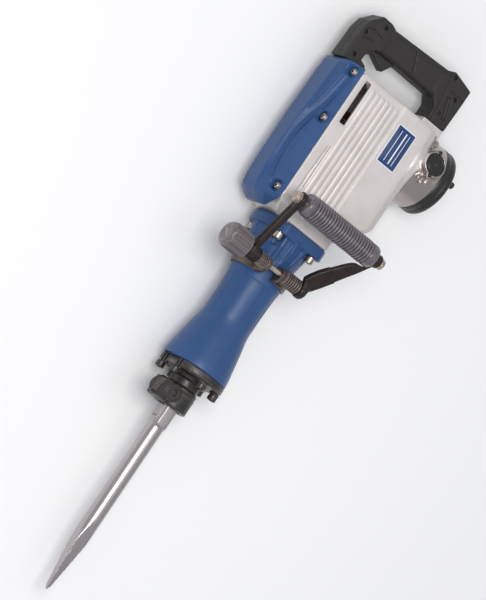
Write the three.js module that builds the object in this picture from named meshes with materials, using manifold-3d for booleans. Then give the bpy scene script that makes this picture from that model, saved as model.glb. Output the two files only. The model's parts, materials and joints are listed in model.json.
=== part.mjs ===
// Electric demolition hammer (jackhammer) with a 30 mm hexagon tool socket, a pointed
// chisel, a D-handle and a clamped side handle. Every separate piece is one named mesh.
//
// The pieces are drawn in the tool frame: +z runs along the hammer axis towards the
// D-handle, z = 0 at the nose of the tool holder, -x is the gear cover side, +x the motor
// tail, -y the side that faces up when the tool lies down. One outer group lays the tool
// on its +y side: chisel along +X, motor tail along +Y, up along +Z.
import * as THREE from "three";
import { mergeVertices } from "three/addons/utils/BufferGeometryUtils.js";
import Module from "manifold-3d";

const wasm = await Module();
wasm.setup();

// ---------------------------------------------------------------- driving dimensions, mm
const GAP = 0.3; // running and seating gap between neighbours
const REST_Y = 54.5; // half width of the housing, and the plane the tool lies on
const SHEET_Y = 52.8; // housing side wall below its ribs

// chisel
const HEX_AF = 30, // across flats of the shank
  CHISEL_TIP = -324,
  CHISEL_TOP = 86,
  CHISEL_SHAFT_D = 27,
  CHISEL_POINT_Z = -212,
  CHISEL_HEX_Z = -33,
  NOTCH_Z0 = -22,
  NOTCH_Z1 = 24.6,
  NOTCH_X = -12;

// tool holder and retainer
const NOSE_H = 32,
  NECK_R = 24.5,
  FLANGE_Z0 = 55,
  FLANGE_Z1 = 67,
  FLANGE_R = 54.5,
  SOCKET_R = 17.8,
  COVER_BOLT_R = 46,
  RETAINER_X = -24,
  RETAINER_Z = 17.4,
  RETAINER_R = 9.5;

// cylinder case
const BARREL_BORE = 34.8,
  CASE_FLANGE_Z0 = 303,
  CASE_FLANGE_Z1 = 322,
  CASE_BOLTS = [
    [36, -42],
    [-32, -42],
    [-32, 42],
    [36, 42],
  ],
  BAND_NECK_R = 43;

// housing
const HOUSE_X0 = -70.5,
  HOUSE_X1 = 94,
  HOUSE_Z0 = 322.3,
  HOUSE_Z1 = 570,
  MOTOR_Z = 513,
  TAIL_R = 55.5,
  TAIL_X = 138,
  MOTOR_BORE = 48,
  BRUSH_X = 113,
  BRUSH_TILT = 14,
  COVER_BOLT_Z = [354.6, 479, 560.5],
  COVER_BOLT_Y = 45.5;

// gear train: motor pinion 12 : 42, then 14 : 46
const M1 = 1.5,
  T1 = 12,
  T2 = 42,
  M2 = 1.8,
  T3 = 14,
  T4 = 46,
  PRESSURE = 25,
  MID_Z = MOTOR_Z - (M1 * (T1 + T2)) / 2, // 472.5
  CRANK_Z = MID_Z - (M2 * (T3 + T4)) / 2, // 418.5
  CRANK_R = 14,
  ROD_L = 108.5;

// D-handle
const HANDLE_Y = 20,
  TRIGGER_PIVOT = [-60, 613];

// side handle: bolt axis parallel to x, loop leaning out from the hammer axis
const BOLT_Y = -60,
  BOLT_Z = 251,
  LOOP_TILT = 23,
  LOOP_L = 107.3,
  GRIP_X0 = -57,
  GRIP_X1 = 90,
  GRIP_R = 19.2;

// ---------------------------------------------------------------- geometry helpers
// round pieces are drawn with three fifths of the nominal side count, small ones with all
const sides = (n) => (n <= 12 ? n : Math.max(12, 2 * Math.round(n * 0.3)));
function solid(geometry) {
  const g = geometry.index ? geometry.toNonIndexed() : geometry;
  const bare = new THREE.BufferGeometry().setAttribute(
    "position",
    g.getAttribute("position"),
  );
  const m = mergeVertices(bare, 1e-4);
  const tri = [];
  for (let i = 0; i < m.index.count; i += 3) {
    const a = m.index.getX(i),
      b = m.index.getX(i + 1),
      c = m.index.getX(i + 2);
    if (a !== b && b !== c && a !== c) tri.push(a, b, c);
  }
  const make = (t) =>
    new wasm.Manifold(
      new wasm.Mesh({
        numProp: 3,
        vertProperties: new Float32Array(m.attributes.position.array),
        triVerts: new Uint32Array(t),
      }),
    );
  const s = make(tri);
  if (s.volume() > 0) return s;
  for (let i = 0; i < tri.length; i += 3)
    [tri[i + 1], tri[i + 2]] = [tri[i + 2], tri[i + 1]];
  return make(tri);
}
const box = (x0, x1, y0, y1, z0, z1) =>
  solid(
    new THREE.BoxGeometry(x1 - x0, y1 - y0, z1 - z0).translate(
      (x0 + x1) / 2,
      (y0 + y1) / 2,
      (z0 + z1) / 2,
    ),
  );
const cylinder = (r0, r1, length, n) =>
  new THREE.CylinderGeometry(r1, r0, length, sides(n));
const cylZ = (x, y, r, z0, z1, n = 24, rTop = r) =>
  solid(
    cylinder(r, rTop, z1 - z0, n)
      .rotateX(Math.PI / 2)
      .translate(x, y, (z0 + z1) / 2),
  );
const cylX = (y, z, r, x0, x1, n = 24, rEnd = r) =>
  solid(
    cylinder(r, rEnd, x1 - x0, n)
      .rotateZ(-Math.PI / 2)
      .translate((x0 + x1) / 2, y, z),
  );
const cylY = (x, z, r, y0, y1, n = 24, rEnd = r) =>
  solid(cylinder(r, rEnd, y1 - y0, n).translate(x, (y0 + y1) / 2, z));
function extrude(points, depth) {
  const shape = new THREE.Shape(points.map((p) => new THREE.Vector2(...p)));
  return new THREE.ExtrudeGeometry(shape, { depth, bevelEnabled: false });
}
const basis = (x, y, z) =>
  new THREE.Matrix4().makeBasis(
    new THREE.Vector3(...x),
    new THREE.Vector3(...y),
    new THREE.Vector3(...z),
  );
const prismZ = (pts, z0, z1) =>
  solid(extrude(pts, z1 - z0).translate(0, 0, z0));
const prismY = (pts, y0, y1) =>
  solid(
    extrude(pts, y1 - y0)
      .applyMatrix4(basis([1, 0, 0], [0, 0, 1], [0, 1, 0]))
      .translate(0, y0, 0),
  );
const prismX = (pts, x0, x1) =>
  solid(
    extrude(pts, x1 - x0)
      .applyMatrix4(basis([0, 1, 0], [0, 0, 1], [1, 0, 0]))
      .translate(x0, 0, 0),
  );
// profile of [radius, height] about the z axis
const lathe = (pts, n = 32) =>
  solid(
    new THREE.LatheGeometry(
      pts.map((p) => new THREE.Vector2(...p)),
      sides(n),
    ).rotateX(Math.PI / 2),
  );
const latheX = (pts, y, z, n = 32) =>
  solid(
    new THREE.LatheGeometry(
      pts.map((p) => new THREE.Vector2(...p)),
      sides(n),
    )
      .rotateZ(-Math.PI / 2)
      .translate(0, y, z),
  );
const ring = (r0, r1, z0, z1, n = 32) =>
  lathe(
    [
      [r0, z0],
      [r1, z0],
      [r1, z1],
      [r0, z1],
      [r0, z0],
    ],
    n,
  );
const ringX = (y, z, r0, r1, x0, x1, n = 32) =>
  latheX(
    [
      [r0, x0],
      [r1, x0],
      [r1, x1],
      [r0, x1],
      [r0, x0],
    ],
    y,
    z,
    n,
  );
// solid through a list of rings with equal point counts, convex ends
function loft(rings) {
  const n = rings[0].length,
    v = [];
  const push = (...p) => p.forEach((q) => v.push(...q));
  for (let k = 0; k + 1 < rings.length; k++)
    for (let i = 0; i < n; i++) {
      const j = (i + 1) % n,
        [a, b, c, d] = [rings[k][i], rings[k][j], rings[k + 1][j], rings[k + 1][i]];
      push(a, b, c, a, c, d);
    }
  for (let i = 1; i + 1 < n; i++) {
    push(rings[0][0], rings[0][i + 1], rings[0][i]);
    const e = rings[rings.length - 1];
    push(e[0], e[i], e[i + 1]);
  }
  return solid(
    new THREE.BufferGeometry().setAttribute(
      "position",
      new THREE.Float32BufferAttribute(v, 3),
    ),
  );
}
const join = (...s) => s.reduce((a, b) => a.add(b));
const cut = (a, ...s) => s.reduce((p, b) => p.subtract(b), a);
const rad = THREE.MathUtils.degToRad;
const circle = (cx, cy, r, n, from = 0) =>
  Array.from({ length: n }, (_, i) => [
    cx + r * Math.cos(from + (2 * Math.PI * i) / n),
    cy + r * Math.sin(from + (2 * Math.PI * i) / n),
  ]);
// the same matrix for a mesh's place, and for a cut made in the tool frame
function placed(s, matrix) {
  return s.transform(matrix.elements.slice());
}

// ---------------------------------------------------------------- materials
const paint = (color, roughness, metalness) =>
  new THREE.MeshStandardMaterial({ color, roughness, metalness });
const BLUE = () => paint(0x35609c, 0.45, 0.1),
  SILVER = () => paint(0xc4bfbd, 0.5, 0.75),
  BLACK_CAST = () => paint(0x2a2a2b, 0.6, 0.5),
  PLASTIC = () => paint(0x3b3a3a, 0.65, 0),
  BLACK_PLASTIC = () => paint(0x1c1c1d, 0.5, 0),
  RUBBER = () => paint(0x4c4a52, 0.7, 0),
  STEEL = () => paint(0xa9a4a3, 0.35, 0.95),
  DARK_STEEL = () => paint(0x4a4643, 0.45, 0.9),
  ZINC = () => paint(0xb9b4ad, 0.35, 0.95),
  COPPER = () => paint(0xb87333, 0.4, 0.9),
  CARBON = () => paint(0x202020, 0.8, 0.1),
  BLUE_PLATE = () => paint(0x1f4788, 0.4, 0);

const tool = new THREE.Group();
function part(name, s, material, parent = tool) {
  const { vertProperties, triVerts, numProp } = s.getMesh();
  const position = new Float32Array((vertProperties.length / numProp) * 3);
  for (let i = 0; i < position.length / 3; i++)
    position.set(vertProperties.subarray(i * numProp, i * numProp + 3), i * 3);
  const g = new THREE.BufferGeometry()
    .setAttribute("position", new THREE.BufferAttribute(position, 3))
    .setIndex(new THREE.BufferAttribute(new Uint32Array(triVerts), 1));
  g.computeVertexNormals();
  const mesh = new THREE.Mesh(g, material);
  mesh.name = name;
  parent.add(mesh);
  return mesh;
}

// ---------------------------------------------------------------- fasteners
// socket head cap screw along +z from the underside of the head at z = 0, head below it
function capScrew(headR, headH, shankR, shankL, socket) {
  return cut(
    join(
      cylZ(0, 0, headR, -headH, 0, 14),
      cylZ(0, 0, shankR, -0.5, shankL, 10),
    ),
    cylZ(0, 0, socket, -headH - 1, -headH * 0.45, 6),
  );
}
const at = (x, y, z, turn) => {
  const m = new THREE.Matrix4();
  if (turn) m.makeRotationFromEuler(new THREE.Euler(...turn));
  return m.setPosition(x, y, z);
};

// ---------------------------------------------------------------- chisel
{
  const hex = circle(0, 0, HEX_AF / 2 / Math.cos(Math.PI / 6), 6, 0);
  const shank = prismZ(hex, CHISEL_HEX_Z, CHISEL_TOP).intersect(
    lathe(
      [
        [0, CHISEL_HEX_Z - 1],
        [14.4, CHISEL_HEX_Z - 1],
        [17.6, CHISEL_HEX_Z + 3],
        [17.6, CHISEL_TOP - 3],
        [14.5, CHISEL_TOP + 1],
        [0, CHISEL_TOP + 1],
      ],
      24,
    ),
  );
  const r = CHISEL_SHAFT_D / 2;
  const shaft = cylZ(0, 0, r, CHISEL_TIP - 5, CHISEL_HEX_Z + 4, 24);
  // four flats that meet in a slender point
  const sq = (h, z) => [
    [h, -h, z],
    [h, h, z],
    [-h, h, z],
    [-h, -h, z],
  ];
  const point = loft([
    sq(1.2, CHISEL_TIP),
    sq(3.2, CHISEL_TIP + 6),
    sq(9.6, CHISEL_POINT_Z - 30),
    sq(14, CHISEL_POINT_Z + 12),
    sq(15, CHISEL_HEX_Z + 5),
  ]);
  const notch = box(-30, NOTCH_X, -20, 20, NOTCH_Z0, NOTCH_Z1);
  part("chisel", cut(join(shaft.intersect(point), shank), notch), STEEL());
}

// ---------------------------------------------------------------- tool holder
const boltAngles = [30, 90, 150, 210, 270, 330].map(rad);
{
  const nose = join(
    cylZ(0, 0, 26, 0, 1.5, 36, 27.5),
    cylZ(0, 0, 27.5, 1.4, NOSE_H, 36),
    prismZ(
      [
        [6, -23],
        [6, 23],
        [-31, 23],
        [-38, 16],
        [-38, -16],
        [-31, -23],
      ],
      1.5,
      NOSE_H + 1,
    ),
  );
  const body = join(
    nose,
    cylZ(0, 0, NECK_R, NOSE_H - 2, FLANGE_Z0 + 2, 32),
    cylZ(0, 0, 31, 46, FLANGE_Z0 + 1, 32, 34),
    cylZ(0, 0, FLANGE_R, FLANGE_Z0, FLANGE_Z1, 48),
    cylZ(0, 0, 33.8, FLANGE_Z1 - 1, 90, 32),
    ...boltAngles.map((a) =>
      cylZ(
        COVER_BOLT_R * Math.cos(a),
        COVER_BOLT_R * Math.sin(a),
        8.4,
        FLANGE_Z0 - 3,
        FLANGE_Z0 + 1,
        16,
      ),
    ),
  );
  part(
    "front_cover",
    cut(
      body,
      cylZ(0, 0, SOCKET_R, -1, 92, 24),
      cylY(RETAINER_X, RETAINER_Z, RETAINER_R + 0.4, -40, 40, 30),
      ...boltAngles.map((a) =>
        cylZ(
          COVER_BOLT_R * Math.cos(a),
          COVER_BOLT_R * Math.sin(a),
          4.3,
          40,
          70,
          12,
        ),
      ),
    ),
    BLACK_CAST(),
  );
}
boltAngles.forEach((a, i) => {
  const m = part(
    `front_cover_bolt_${i + 1}`,
    capScrew(7, 9, 3.9, 28, 3.6),
    DARK_STEEL(),
  );
  m.position.set(
    COVER_BOLT_R * Math.cos(a),
    COVER_BOLT_R * Math.sin(a),
    FLANGE_Z0 - 3 - GAP,
  );
});

// retainer lever: a cam shaft across the socket with a thumb tab outside the holder
{
  const shaft = cut(
    cylY(0, 0, RETAINER_R, -27, 26, 24),
    // the flat that lets the shank pass when the lever is turned over
    box(-11, -5.4, -16, 16, -11, 11),
  );
  const tab = prismY(
    [
      [4, 13],
      [-18, 13.5],
      [-30, 12.5],
      [-37, 8],
      [-41, 0],
      [-41.5, -8],
      [-38, -15],
      [-32, -19],
      [-18, -16],
      [-6, -13],
    ],
    -34,
    -28.2,
  );
  const lever = join(
    shaft,
    tab,
    cylY(0, 0, 14, -36, -26, 28),
    prismY(
      [
        [-24, 12],
        [-36, 8],
        [-41, -6],
        [-37, -15],
        [-28, -15],
      ],
      -38,
      -28.2,
    ),
  );
  const m = part("retainer_lever", lever, BLACK_CAST());
  m.position.set(RETAINER_X, 0, RETAINER_Z);
}

// ---------------------------------------------------------------- cylinder case
{
  const outer = lathe(
    [
      [0, FLANGE_Z1 + GAP],
      [54, FLANGE_Z1 + GAP],
      [53.6, 76],
      [50.5, 95],
      [46, 123],
      [41.6, 144],
      [39.6, 157],
      [39.6, 188],
      [41, 226],
      [BAND_NECK_R, 233],
      [BAND_NECK_R, 268],
      [45, 276],
      [50, CASE_FLANGE_Z0 + 1],
      [0, CASE_FLANGE_Z0 + 1],
    ],
    48,
  );
  const arc = [];
  for (let a = 118.4; a <= 241.7; a += 8.22)
    arc.push([58 * Math.cos(rad(a)), 58 * Math.sin(rad(a))]);
  const flange = prismZ(
    [[51, 44], [44, 51], ...arc, [44, -51], [51, -44]],
    CASE_FLANGE_Z0,
    CASE_FLANGE_Z1,
  );
  // gussets between the neck and the flange
  const ribs = [];
  for (const a of [-90, -68, -112, 0, 90, 68, 112, 180])
    ribs.push(
      placed(
        prismY(
          [
            [38, 268],
            [44, 268],
            [51, 288],
            [51, CASE_FLANGE_Z0 + 1],
            [38, CASE_FLANGE_Z0 + 1],
          ],
          -2.5,
          2.5,
        ),
        new THREE.Matrix4().makeRotationZ(rad(a)),
      ),
    );
  part(
    "cylinder_case",
    cut(
      join(outer, flange, ...ribs),
      cylZ(0, 0, BARREL_BORE, 60, 330, 40),
      ...CASE_BOLTS.map(([x, y]) =>
        cylZ(x, y, 9, 284, CASE_FLANGE_Z0, 14),
      ),
      ...CASE_BOLTS.map(([x, y]) => cylZ(x, y, 4.3, 290, 330, 12)),
      ...boltAngles.map((a) =>
        cylZ(
          COVER_BOLT_R * Math.cos(a),
          COVER_BOLT_R * Math.sin(a),
          4.3,
          60,
          84,
          12,
        ),
      ),
    ),
    BLUE(),
  );
}
CASE_BOLTS.forEach(([x, y], i) => {
  const m = part(
    `cylinder_case_bolt_${i + 1}`,
    capScrew(7, 10, 3.9, 36, 3.8),
    ZINC(),
  );
  m.position.set(x, y, CASE_FLANGE_Z0 - GAP);
});

// ---------------------------------------------------------------- housing
{
  const block = prismY(
    [
      [HOUSE_X0, 347],
      [-62, 335],
      [-52, 326],
      [-45, HOUSE_Z0],
      [46, HOUSE_Z0],
      [46, 336],
      [HOUSE_X1, 392],
      [HOUSE_X1, HOUSE_Z1],
      [-66, HOUSE_Z1],
      [HOUSE_X0, 566],
    ],
    -SHEET_Y,
    SHEET_Y,
  );
  const ribs = [];
  for (const sx of [-38, -28, -18, -8, 2, 12])
    for (const side of [-1, 1])
      ribs.push(
        side < 0
          ? box(sx - 2, sx + 2, -REST_Y, -SHEET_Y + 1, 340, 558)
          : box(sx - 2, sx + 2, SHEET_Y - 1, REST_Y, 340, 558),
      );
  const pad = [
    [20, 345],
    [50, 345],
    [84, 388],
    [84, 560],
    [20, 560],
  ];
  const tail = cylX(0, MOTOR_Z, TAIL_R, 84, TAIL_X, 48);
  const seat = box(71.6, 114, -25, 25, 545, 583.6);
  // radial bosses that hold the brushes
  const brushTurn = new THREE.Matrix4()
    .makeTranslation(0, 0, MOTOR_Z)
    .multiply(new THREE.Matrix4().makeRotationX(rad(-BRUSH_TILT)));
  const brushBoss = placed(
    cylY(BRUSH_X, 0, 19.5, -65, 65, 28),
    brushTurn,
  );
  const bosses = [];
  for (const y of [-COVER_BOLT_Y, COVER_BOLT_Y])
    for (const z of COVER_BOLT_Z)
      bosses.push(cylX(y, z, 6.3, HOUSE_X0, -46, 12));
  const posts = CASE_BOLTS.map(([x, y]) =>
    cylZ(x, y, 8, HOUSE_Z0, 345, 12),
  );
  const cavity = prismY(
    [
      [HOUSE_X0 - 1, 352],
      [-58, 338],
      [-46, 330],
      [42, 330],
      [42, 341],
      [88, 396],
      [88, 565],
      [HOUSE_X0 - 1, 565],
    ],
    -48.6,
    48.6,
  );
  // the front corners run in towards the case flange
  const corner = (s) =>
    prismX(
      [
        [s * 60, 352],
        [s * 53, 350],
        [s * 50, 340],
        [s * 40, 330],
        [s * 28, 322],
        [s * 28, 310],
        [s * 60, 310],
      ],
      -90,
      -45,
    );
  // long edges beside the tail, taken off at a slant
  const edge = (s) =>
    prismZ(
      [
        [86, s * 60],
        [86, s * SHEET_Y],
        [89.5, s * 51],
        [92.4, s * 48],
        [HOUSE_X1 + 1, s * 44],
        [HOUSE_X1 + 1, s * 60],
      ],
      320,
      585,
    );
  const wall = join(
    cut(block, corner(-1), corner(1), edge(-1), edge(1)),
    tail,
    seat,
    brushBoss,
    ...ribs,
    prismY(pad, -REST_Y, -SHEET_Y + 1),
    prismY(pad, SHEET_Y - 1, REST_Y),
  );
  const hollow = cut(
    wall,
    cavity,
    cylX(0, MOTOR_Z, MOTOR_BORE, 20, 140, 40),
    box(-60, 180, REST_Y, 90, 300, 600),
  );
  // the walls that carry the shafts, behind the gear cover
  const web = join(
    box(-52, -44, -49.6, 49.6, 380, 484),
    box(8, 16, -49.6, 49.6, 455, 566),
    box(-48, 12, -49.6, -46, 455, 566),
  );
  const full = join(hollow, ...bosses, ...posts, web);
  const ears = [];
  for (const y of [-COVER_BOLT_Y, COVER_BOLT_Y])
    for (const z of COVER_BOLT_Z)
      ears.push(cylX(y, z, 3.3, HOUSE_X0 - 1, -48, 10));
  // cooling slot beside the gear cover
  const slot = box(-58.5, -48, -60, -40, 487, 561);
  part(
    "motor_housing",
    cut(
      full,
      ...ears,
      ...CASE_BOLTS.map(([x, y]) => cylZ(x, y, 4.3, 310, 341, 12)),
      cylZ(0, 0, 34.6, 318, 332, 40),
      slot,
      cylX(0, CRANK_Z, 17.4, -60, -40, 28),
      cylX(0, MID_Z, 9.4, -60, -40, 20),
      cylX(0, MOTOR_Z, 14.5, 4, 20, 28),
      placed(cylY(BRUSH_X, 0, 15.2, -72, -38, 28), brushTurn),
      placed(cylY(BRUSH_X, 0, 15.2, 38, 72, 28), brushTurn),
    ),
    SILVER(),
  );
  // screwed caps over the carbon brushes
  const placeOn = (name, s, material) => {
    const m = part(name, s, material);
    m.rotation.x = rad(-BRUSH_TILT);
    m.position.z = MOTOR_Z;
  };
  const capNear = cut(
    cylY(BRUSH_X, 0, 14.8, -66.2, -50, 28),
    box(BRUSH_X - 12, BRUSH_X + 12, -67, -64.8, -1.3, 1.3),
  );
  placeOn("brush_cap_left", capNear, BLACK_PLASTIC());
  // the far cap stays below the plane the tool lies on
  const capFar = cylY(BRUSH_X, 0, 14.8, 40, 72, 28).subtract(
    placed(
      box(-200, 300, 52.9, 120, -300, 300),
      new THREE.Matrix4().makeRotationX(rad(BRUSH_TILT)),
    ),
  );
  const farInner = capFar.subtract(box(80, 150, 30, 43.5, -20, 20));
  placeOn("brush_cap_right", farInner, BLACK_PLASTIC());
  placeOn("carbon_brush_left", box(108, 118, -49.6, -15.4, -4, 4), CARBON());
  placeOn("carbon_brush_right", box(108, 118, 15.4, 43.1, -4, 4), CARBON());
}

// plate with a plain border on the smooth side pad
part(
  "badge_plate",
  box(29.5, 60.5, -REST_Y - 0.8, -REST_Y - GAP, 480, 541.5),
  BLUE_PLATE(),
);

// tail cover and its stud
{
  part(
    "tail_cover",
    cut(
      latheX(
        [
          [0, 161.5],
          [0, TAIL_X + GAP + 8],
          [43, TAIL_X + GAP + 8],
          [43, TAIL_X + GAP],
          [TAIL_R - 0.8, TAIL_X + GAP],
          [TAIL_R, TAIL_X + 3],
          [TAIL_R, 155],
          [TAIL_R - 1.4, 158.6],
          [TAIL_R - 4.4, 161.1],
          [TAIL_R - 10, 161.5],
          [0, 161.5],
        ],
        0,
        MOTOR_Z,
        48,
      ),
      box(120, 180, REST_Y - 0.1, 80, 440, 600),
      cylX(-42, 524, 3.6, 150, 165, 12),
    ),
    BLACK_PLASTIC(),
  );
  const m = part(
    "tail_cover_screw",
    join(cylX(0, 0, 5.6, 161.8, 170, 16), cylX(0, 0, 3.2, 152, 162, 10)),
    DARK_STEEL(),
  );
  m.position.set(0, -42, 524);
}

// ---------------------------------------------------------------- gear cover
{
  // half sections from the joint face to the middle: [z, rim y, rim x, shoulder x, y,
  // panel foot x, y, panel x, y]
  const sections = [
    [323.2, 27, -66, -71, 24, -73, 18, -74, 10],
    [330, 39.5, -70.8, -80, 33, -83, 24, -86, 12],
    [340, 49, -70.8, -86, 38, -92, 26, -95.5, 16],
    [352, 54.4, -70.8, -90, 40, -97.5, 24, -100.5, 19],
    [400, 54.4, -70.8, -93, 39, -100, 22, -104.6, 19],
    [450, 54.4, -70.8, -93, 39, -100, 22.5, -105, 19.5],
    [500, 54.4, -70.8, -93, 39, -98.6, 24, -102.8, 21],
    [545, 54.4, -70.8, -92.5, 40, -96, 29, -100.9, 21],
    [564, 54.4, -70.8, -92, 41, -94.6, 33, -99.6, 21],
    [573.8, 53.4, -70.8, -89, 42, -91.5, 35, -94, 21],
  ];
  const outer = loft(
    sections.map(([z, y0, x0, x1, y1, x2, y2, x3, y3]) => [
      [-60, y0, z],
      [x0, y0, z],
      [x1, y1, z],
      [x2, y2, z],
      [x3, y3, z],
      [x3, -y3, z],
      [x2, -y2, z],
      [x1, -y1, z],
      [x0, -y0, z],
      [-60, -y0, z],
    ]),
  );
  const inner = prismY(
    [
      [HOUSE_X0 + 5, 353],
      [-74, 347],
      [-84, 344],
      [-91, 354],
      [-96, 372],
      [-98.5, 440],
      [-97, 520],
      [-94.5, 556],
      [-90, 568],
      [HOUSE_X0 + 5, 568],
    ],
    -60,
    60,
  ).intersect(
    prismZ(
      [
        [-50, 50.4],
        [-71.5, 50.4],
        [-88, 37],
        [-91, 20],
        [-99, 16],
        [-99, -16],
        [-91, -20],
        [-88, -37],
        [-71.5, -50.4],
        [-50, -50.4],
      ],
      300,
      600,
    ),
  );
  const shell = cut(outer, inner, box(HOUSE_X0 - GAP, 0, -60, 60, 300, 600));
  const posts = [],
    pockets = [];
  for (const y of [-COVER_BOLT_Y, COVER_BOLT_Y])
    for (const z of COVER_BOLT_Z) {
      posts.push(cylX(y, z, 7.6, -84, HOUSE_X0 - GAP, 16));
      pockets.push(
        cylX(y, z, 6, -110, -77.5, 16),
        cylX(y, z, 3.3, -90, -60, 10),
      );
    }
  part(
    "gear_cover",
    cut(
      join(shell, ...posts.map((p) => p.intersect(outer))),
      ...pockets,
    ),
    BLUE(),
  );
}
[-1, 1].forEach((s, j) =>
  COVER_BOLT_Z.forEach((z, i) => {
    const m = part(
      `gear_cover_bolt_${j * 3 + i + 1}`,
      capScrew(5.2, 6.4, 3, 26, 2.8),
      ZINC(),
    );
    m.rotation.y = rad(90);
    m.position.set(-77.5 - GAP, s * COVER_BOLT_Y, z);
  }),
);

// ---------------------------------------------------------------- gear train
// involute outline with a tooth centred on angle `first`
function gear(teeth, module, first, addendum = 1, dedendum = 1.15) {
  const alpha = rad(PRESSURE),
    rp = (teeth * module) / 2,
    rb = rp * Math.cos(alpha),
    ra = rp + addendum * module,
    rf = rp - dedendum * module,
    inv = (a) => Math.tan(a) - a,
    half = Math.PI / teeth / 2 - 0.16 / rp / 2 - 0.04 / rp;
  const at = (r) => {
    const a = r > rb ? Math.acos(rb / r) : 0;
    return half + inv(alpha) - inv(a);
  };
  const pts = [];
  for (let i = 0; i < teeth; i++) {
    const c = first + (2 * Math.PI * i) / teeth;
    const flank = [rf, ra];
    for (const r of flank)
      pts.push([r * Math.cos(c - at(r)), r * Math.sin(c - at(r))]);
    for (const r of [...flank].reverse())
      pts.push([r * Math.cos(c + at(r)), r * Math.sin(c + at(r))]);
  }
  return pts;
}
const shiftZ = (pts, z) => pts.map(([y, q]) => [y, q + z]);
{
  const down = -Math.PI / 2,
    up = Math.PI / 2;
  // armature: shaft, laminated core with end windings and commutator, and its pinion
  const slots = [];
  for (let i = 0; i < 8; i++)
    slots.push(
      placed(
        box(46, 94, -1.6, 1.6, 22, 30),
        new THREE.Matrix4()
          .makeTranslation(0, 0, MOTOR_Z)
          .multiply(new THREE.Matrix4().makeRotationX((i * Math.PI) / 4)),
      ),
    );
  part(
    "armature",
    cut(
      join(
        cylX(0, MOTOR_Z, 6, -86, 132, 16),
        cylX(0, MOTOR_Z, 26, 48, 92, 24),
        cylX(0, MOTOR_Z, 21, 42, 98, 20),
        cylX(0, MOTOR_Z, 14.5, 103, 121, 24),
        prismX(shiftZ(gear(T1, M1, down), MOTOR_Z), -86, -72),
      ),
      ...slots,
    ),
    COPPER(),
  );
  const blades = [];
  for (let i = 0; i < 10; i++)
    blades.push(
      placed(
        box(24.5, 34, -1, 1, 8, 42),
        new THREE.Matrix4()
          .makeTranslation(0, 0, MOTOR_Z)
          .multiply(new THREE.Matrix4().makeRotationX((i * Math.PI) / 5)),
      ),
    );
  part(
    "cooling_fan",
    join(
      ringX(0, MOTOR_Z, 6.3, 12, 22, 36, 20),
      ringX(0, MOTOR_Z, 11, 44, 22, 25, 30),
      ...blades,
    ),
    BLACK_PLASTIC(),
  );
  part(
    "stator",
    cut(
      cylX(0, MOTOR_Z, 47.3, 44, 98, 32),
      cylX(0, MOTOR_Z, 27.2, 40, 102, 28),
      box(40, 102, -60, 60, MOTOR_Z + 42, MOTOR_Z + 60),
      box(40, 102, -60, 60, MOTOR_Z - 60, MOTOR_Z - 42),
    ),
    DARK_STEEL(),
  );
  part(
    "armature_bearing_front",
    ringX(0, MOTOR_Z, 6.3, 14.2, 8, 16, 24),
    STEEL(),
  );
  part(
    "armature_bearing_rear",
    ringX(0, MOTOR_Z, 6.3, 14, 123, 131, 24),
    STEEL(),
  );
  // layshaft with its large gear in the cover and its pinion in the housing
  part(
    "intermediate_gear",
    join(
      prismX(shiftZ(gear(T2, M1, up + Math.PI / T2), MID_Z), -84, -74),
      prismX(shiftZ(gear(T3, M2, down), MID_Z), -74.5, -55),
      cylX(0, MID_Z, 9, -56, -42, 16),
      cylX(0, MID_Z, 8, -88, -83, 16),
    ),
    STEEL(),
  );
  part(
    "crank_gear",
    cut(
      prismX(shiftZ(gear(T4, M2, up + Math.PI / T4), CRANK_Z), -69, -57),
      cylX(0, CRANK_Z, 11.3, -80, -50, 24),
      ...[0, 1, 2, 3, 4].map((i) =>
        cylX(
          25 * Math.cos((i * 2 * Math.PI) / 5),
          CRANK_Z + 25 * Math.sin((i * 2 * Math.PI) / 5),
          5.5,
          -80,
          -50,
          10,
        ),
      ),
    ),
    STEEL(),
  );
  // crankshaft at top dead centre
  part(
    "crankshaft",
    join(
      cylX(0, CRANK_Z, 11, -74, -26, 24),
      cylX(0, CRANK_Z, 26, -27, -12, 32),
      cylX(0, CRANK_Z + CRANK_R, 8, -13, 11, 20),
    ),
    STEEL(),
  );
  part(
    "crank_bearing",
    ringX(0, CRANK_Z, 11.3, 17.1, -53, -43, 28),
    STEEL(),
  );
  // connecting rod with its wrist pin, big end on the crank pin
  const big = CRANK_Z + CRANK_R,
    small = big - ROD_L;
  part(
    "connecting_rod",
    cut(
      join(
        cylX(0, big, 13.5, -8, 8, 24),
        box(-5, 5, -6, 6, small, big - 10),
        cylX(0, small, 9, -8, 8, 20),
        cylX(0, small, 5.5, -14, 14, 16),
      ),
      cylX(0, big, 8.3, -20, 20, 20),
    ),
    STEEL(),
  );
}

// ---------------------------------------------------------------- impact mechanism
part(
  "piston",
  lathe(
    [
      [0, 271],
      [27.6, 271],
      [28.6, 272],
      [28.6, 331],
      [26.4, 331],
      [26.4, 285],
      [0, 285],
    ],
    36,
  ),
  STEEL(),
);
part("cylinder_liner", ring(29.2, 34.1, 150.6, 346, 36), STEEL());
part(
  "striker",
  lathe(
    [
      [0, 170],
      [14, 170],
      [15, 171],
      [15, 184],
      [28.6, 186],
      [28.6, 192],
      [27.2, 193],
      [27.2, 197],
      [28.6, 198],
      [28.6, 225],
      [0, 225],
    ],
    32,
  ),
  STEEL(),
);
part(
  "ram",
  lathe(
    [
      [0, 118.4],
      [14, 118.4],
      [15, 119.4],
      [15, 140.6],
      [22, 140.6],
      [22, 152],
      [15, 156],
      [14, 161],
      [0, 161],
    ],
    28,
  ),
  STEEL(),
);
part(
  "ram_guide",
  lathe(
    [
      [18.2, 92],
      [34.1, 92],
      [34.1, 139.9],
      [15.5, 139.9],
      [15.5, 117],
      [18.2, 114.8],
      [18.2, 92],
    ],
    32,
  ),
  STEEL(),
);
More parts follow.
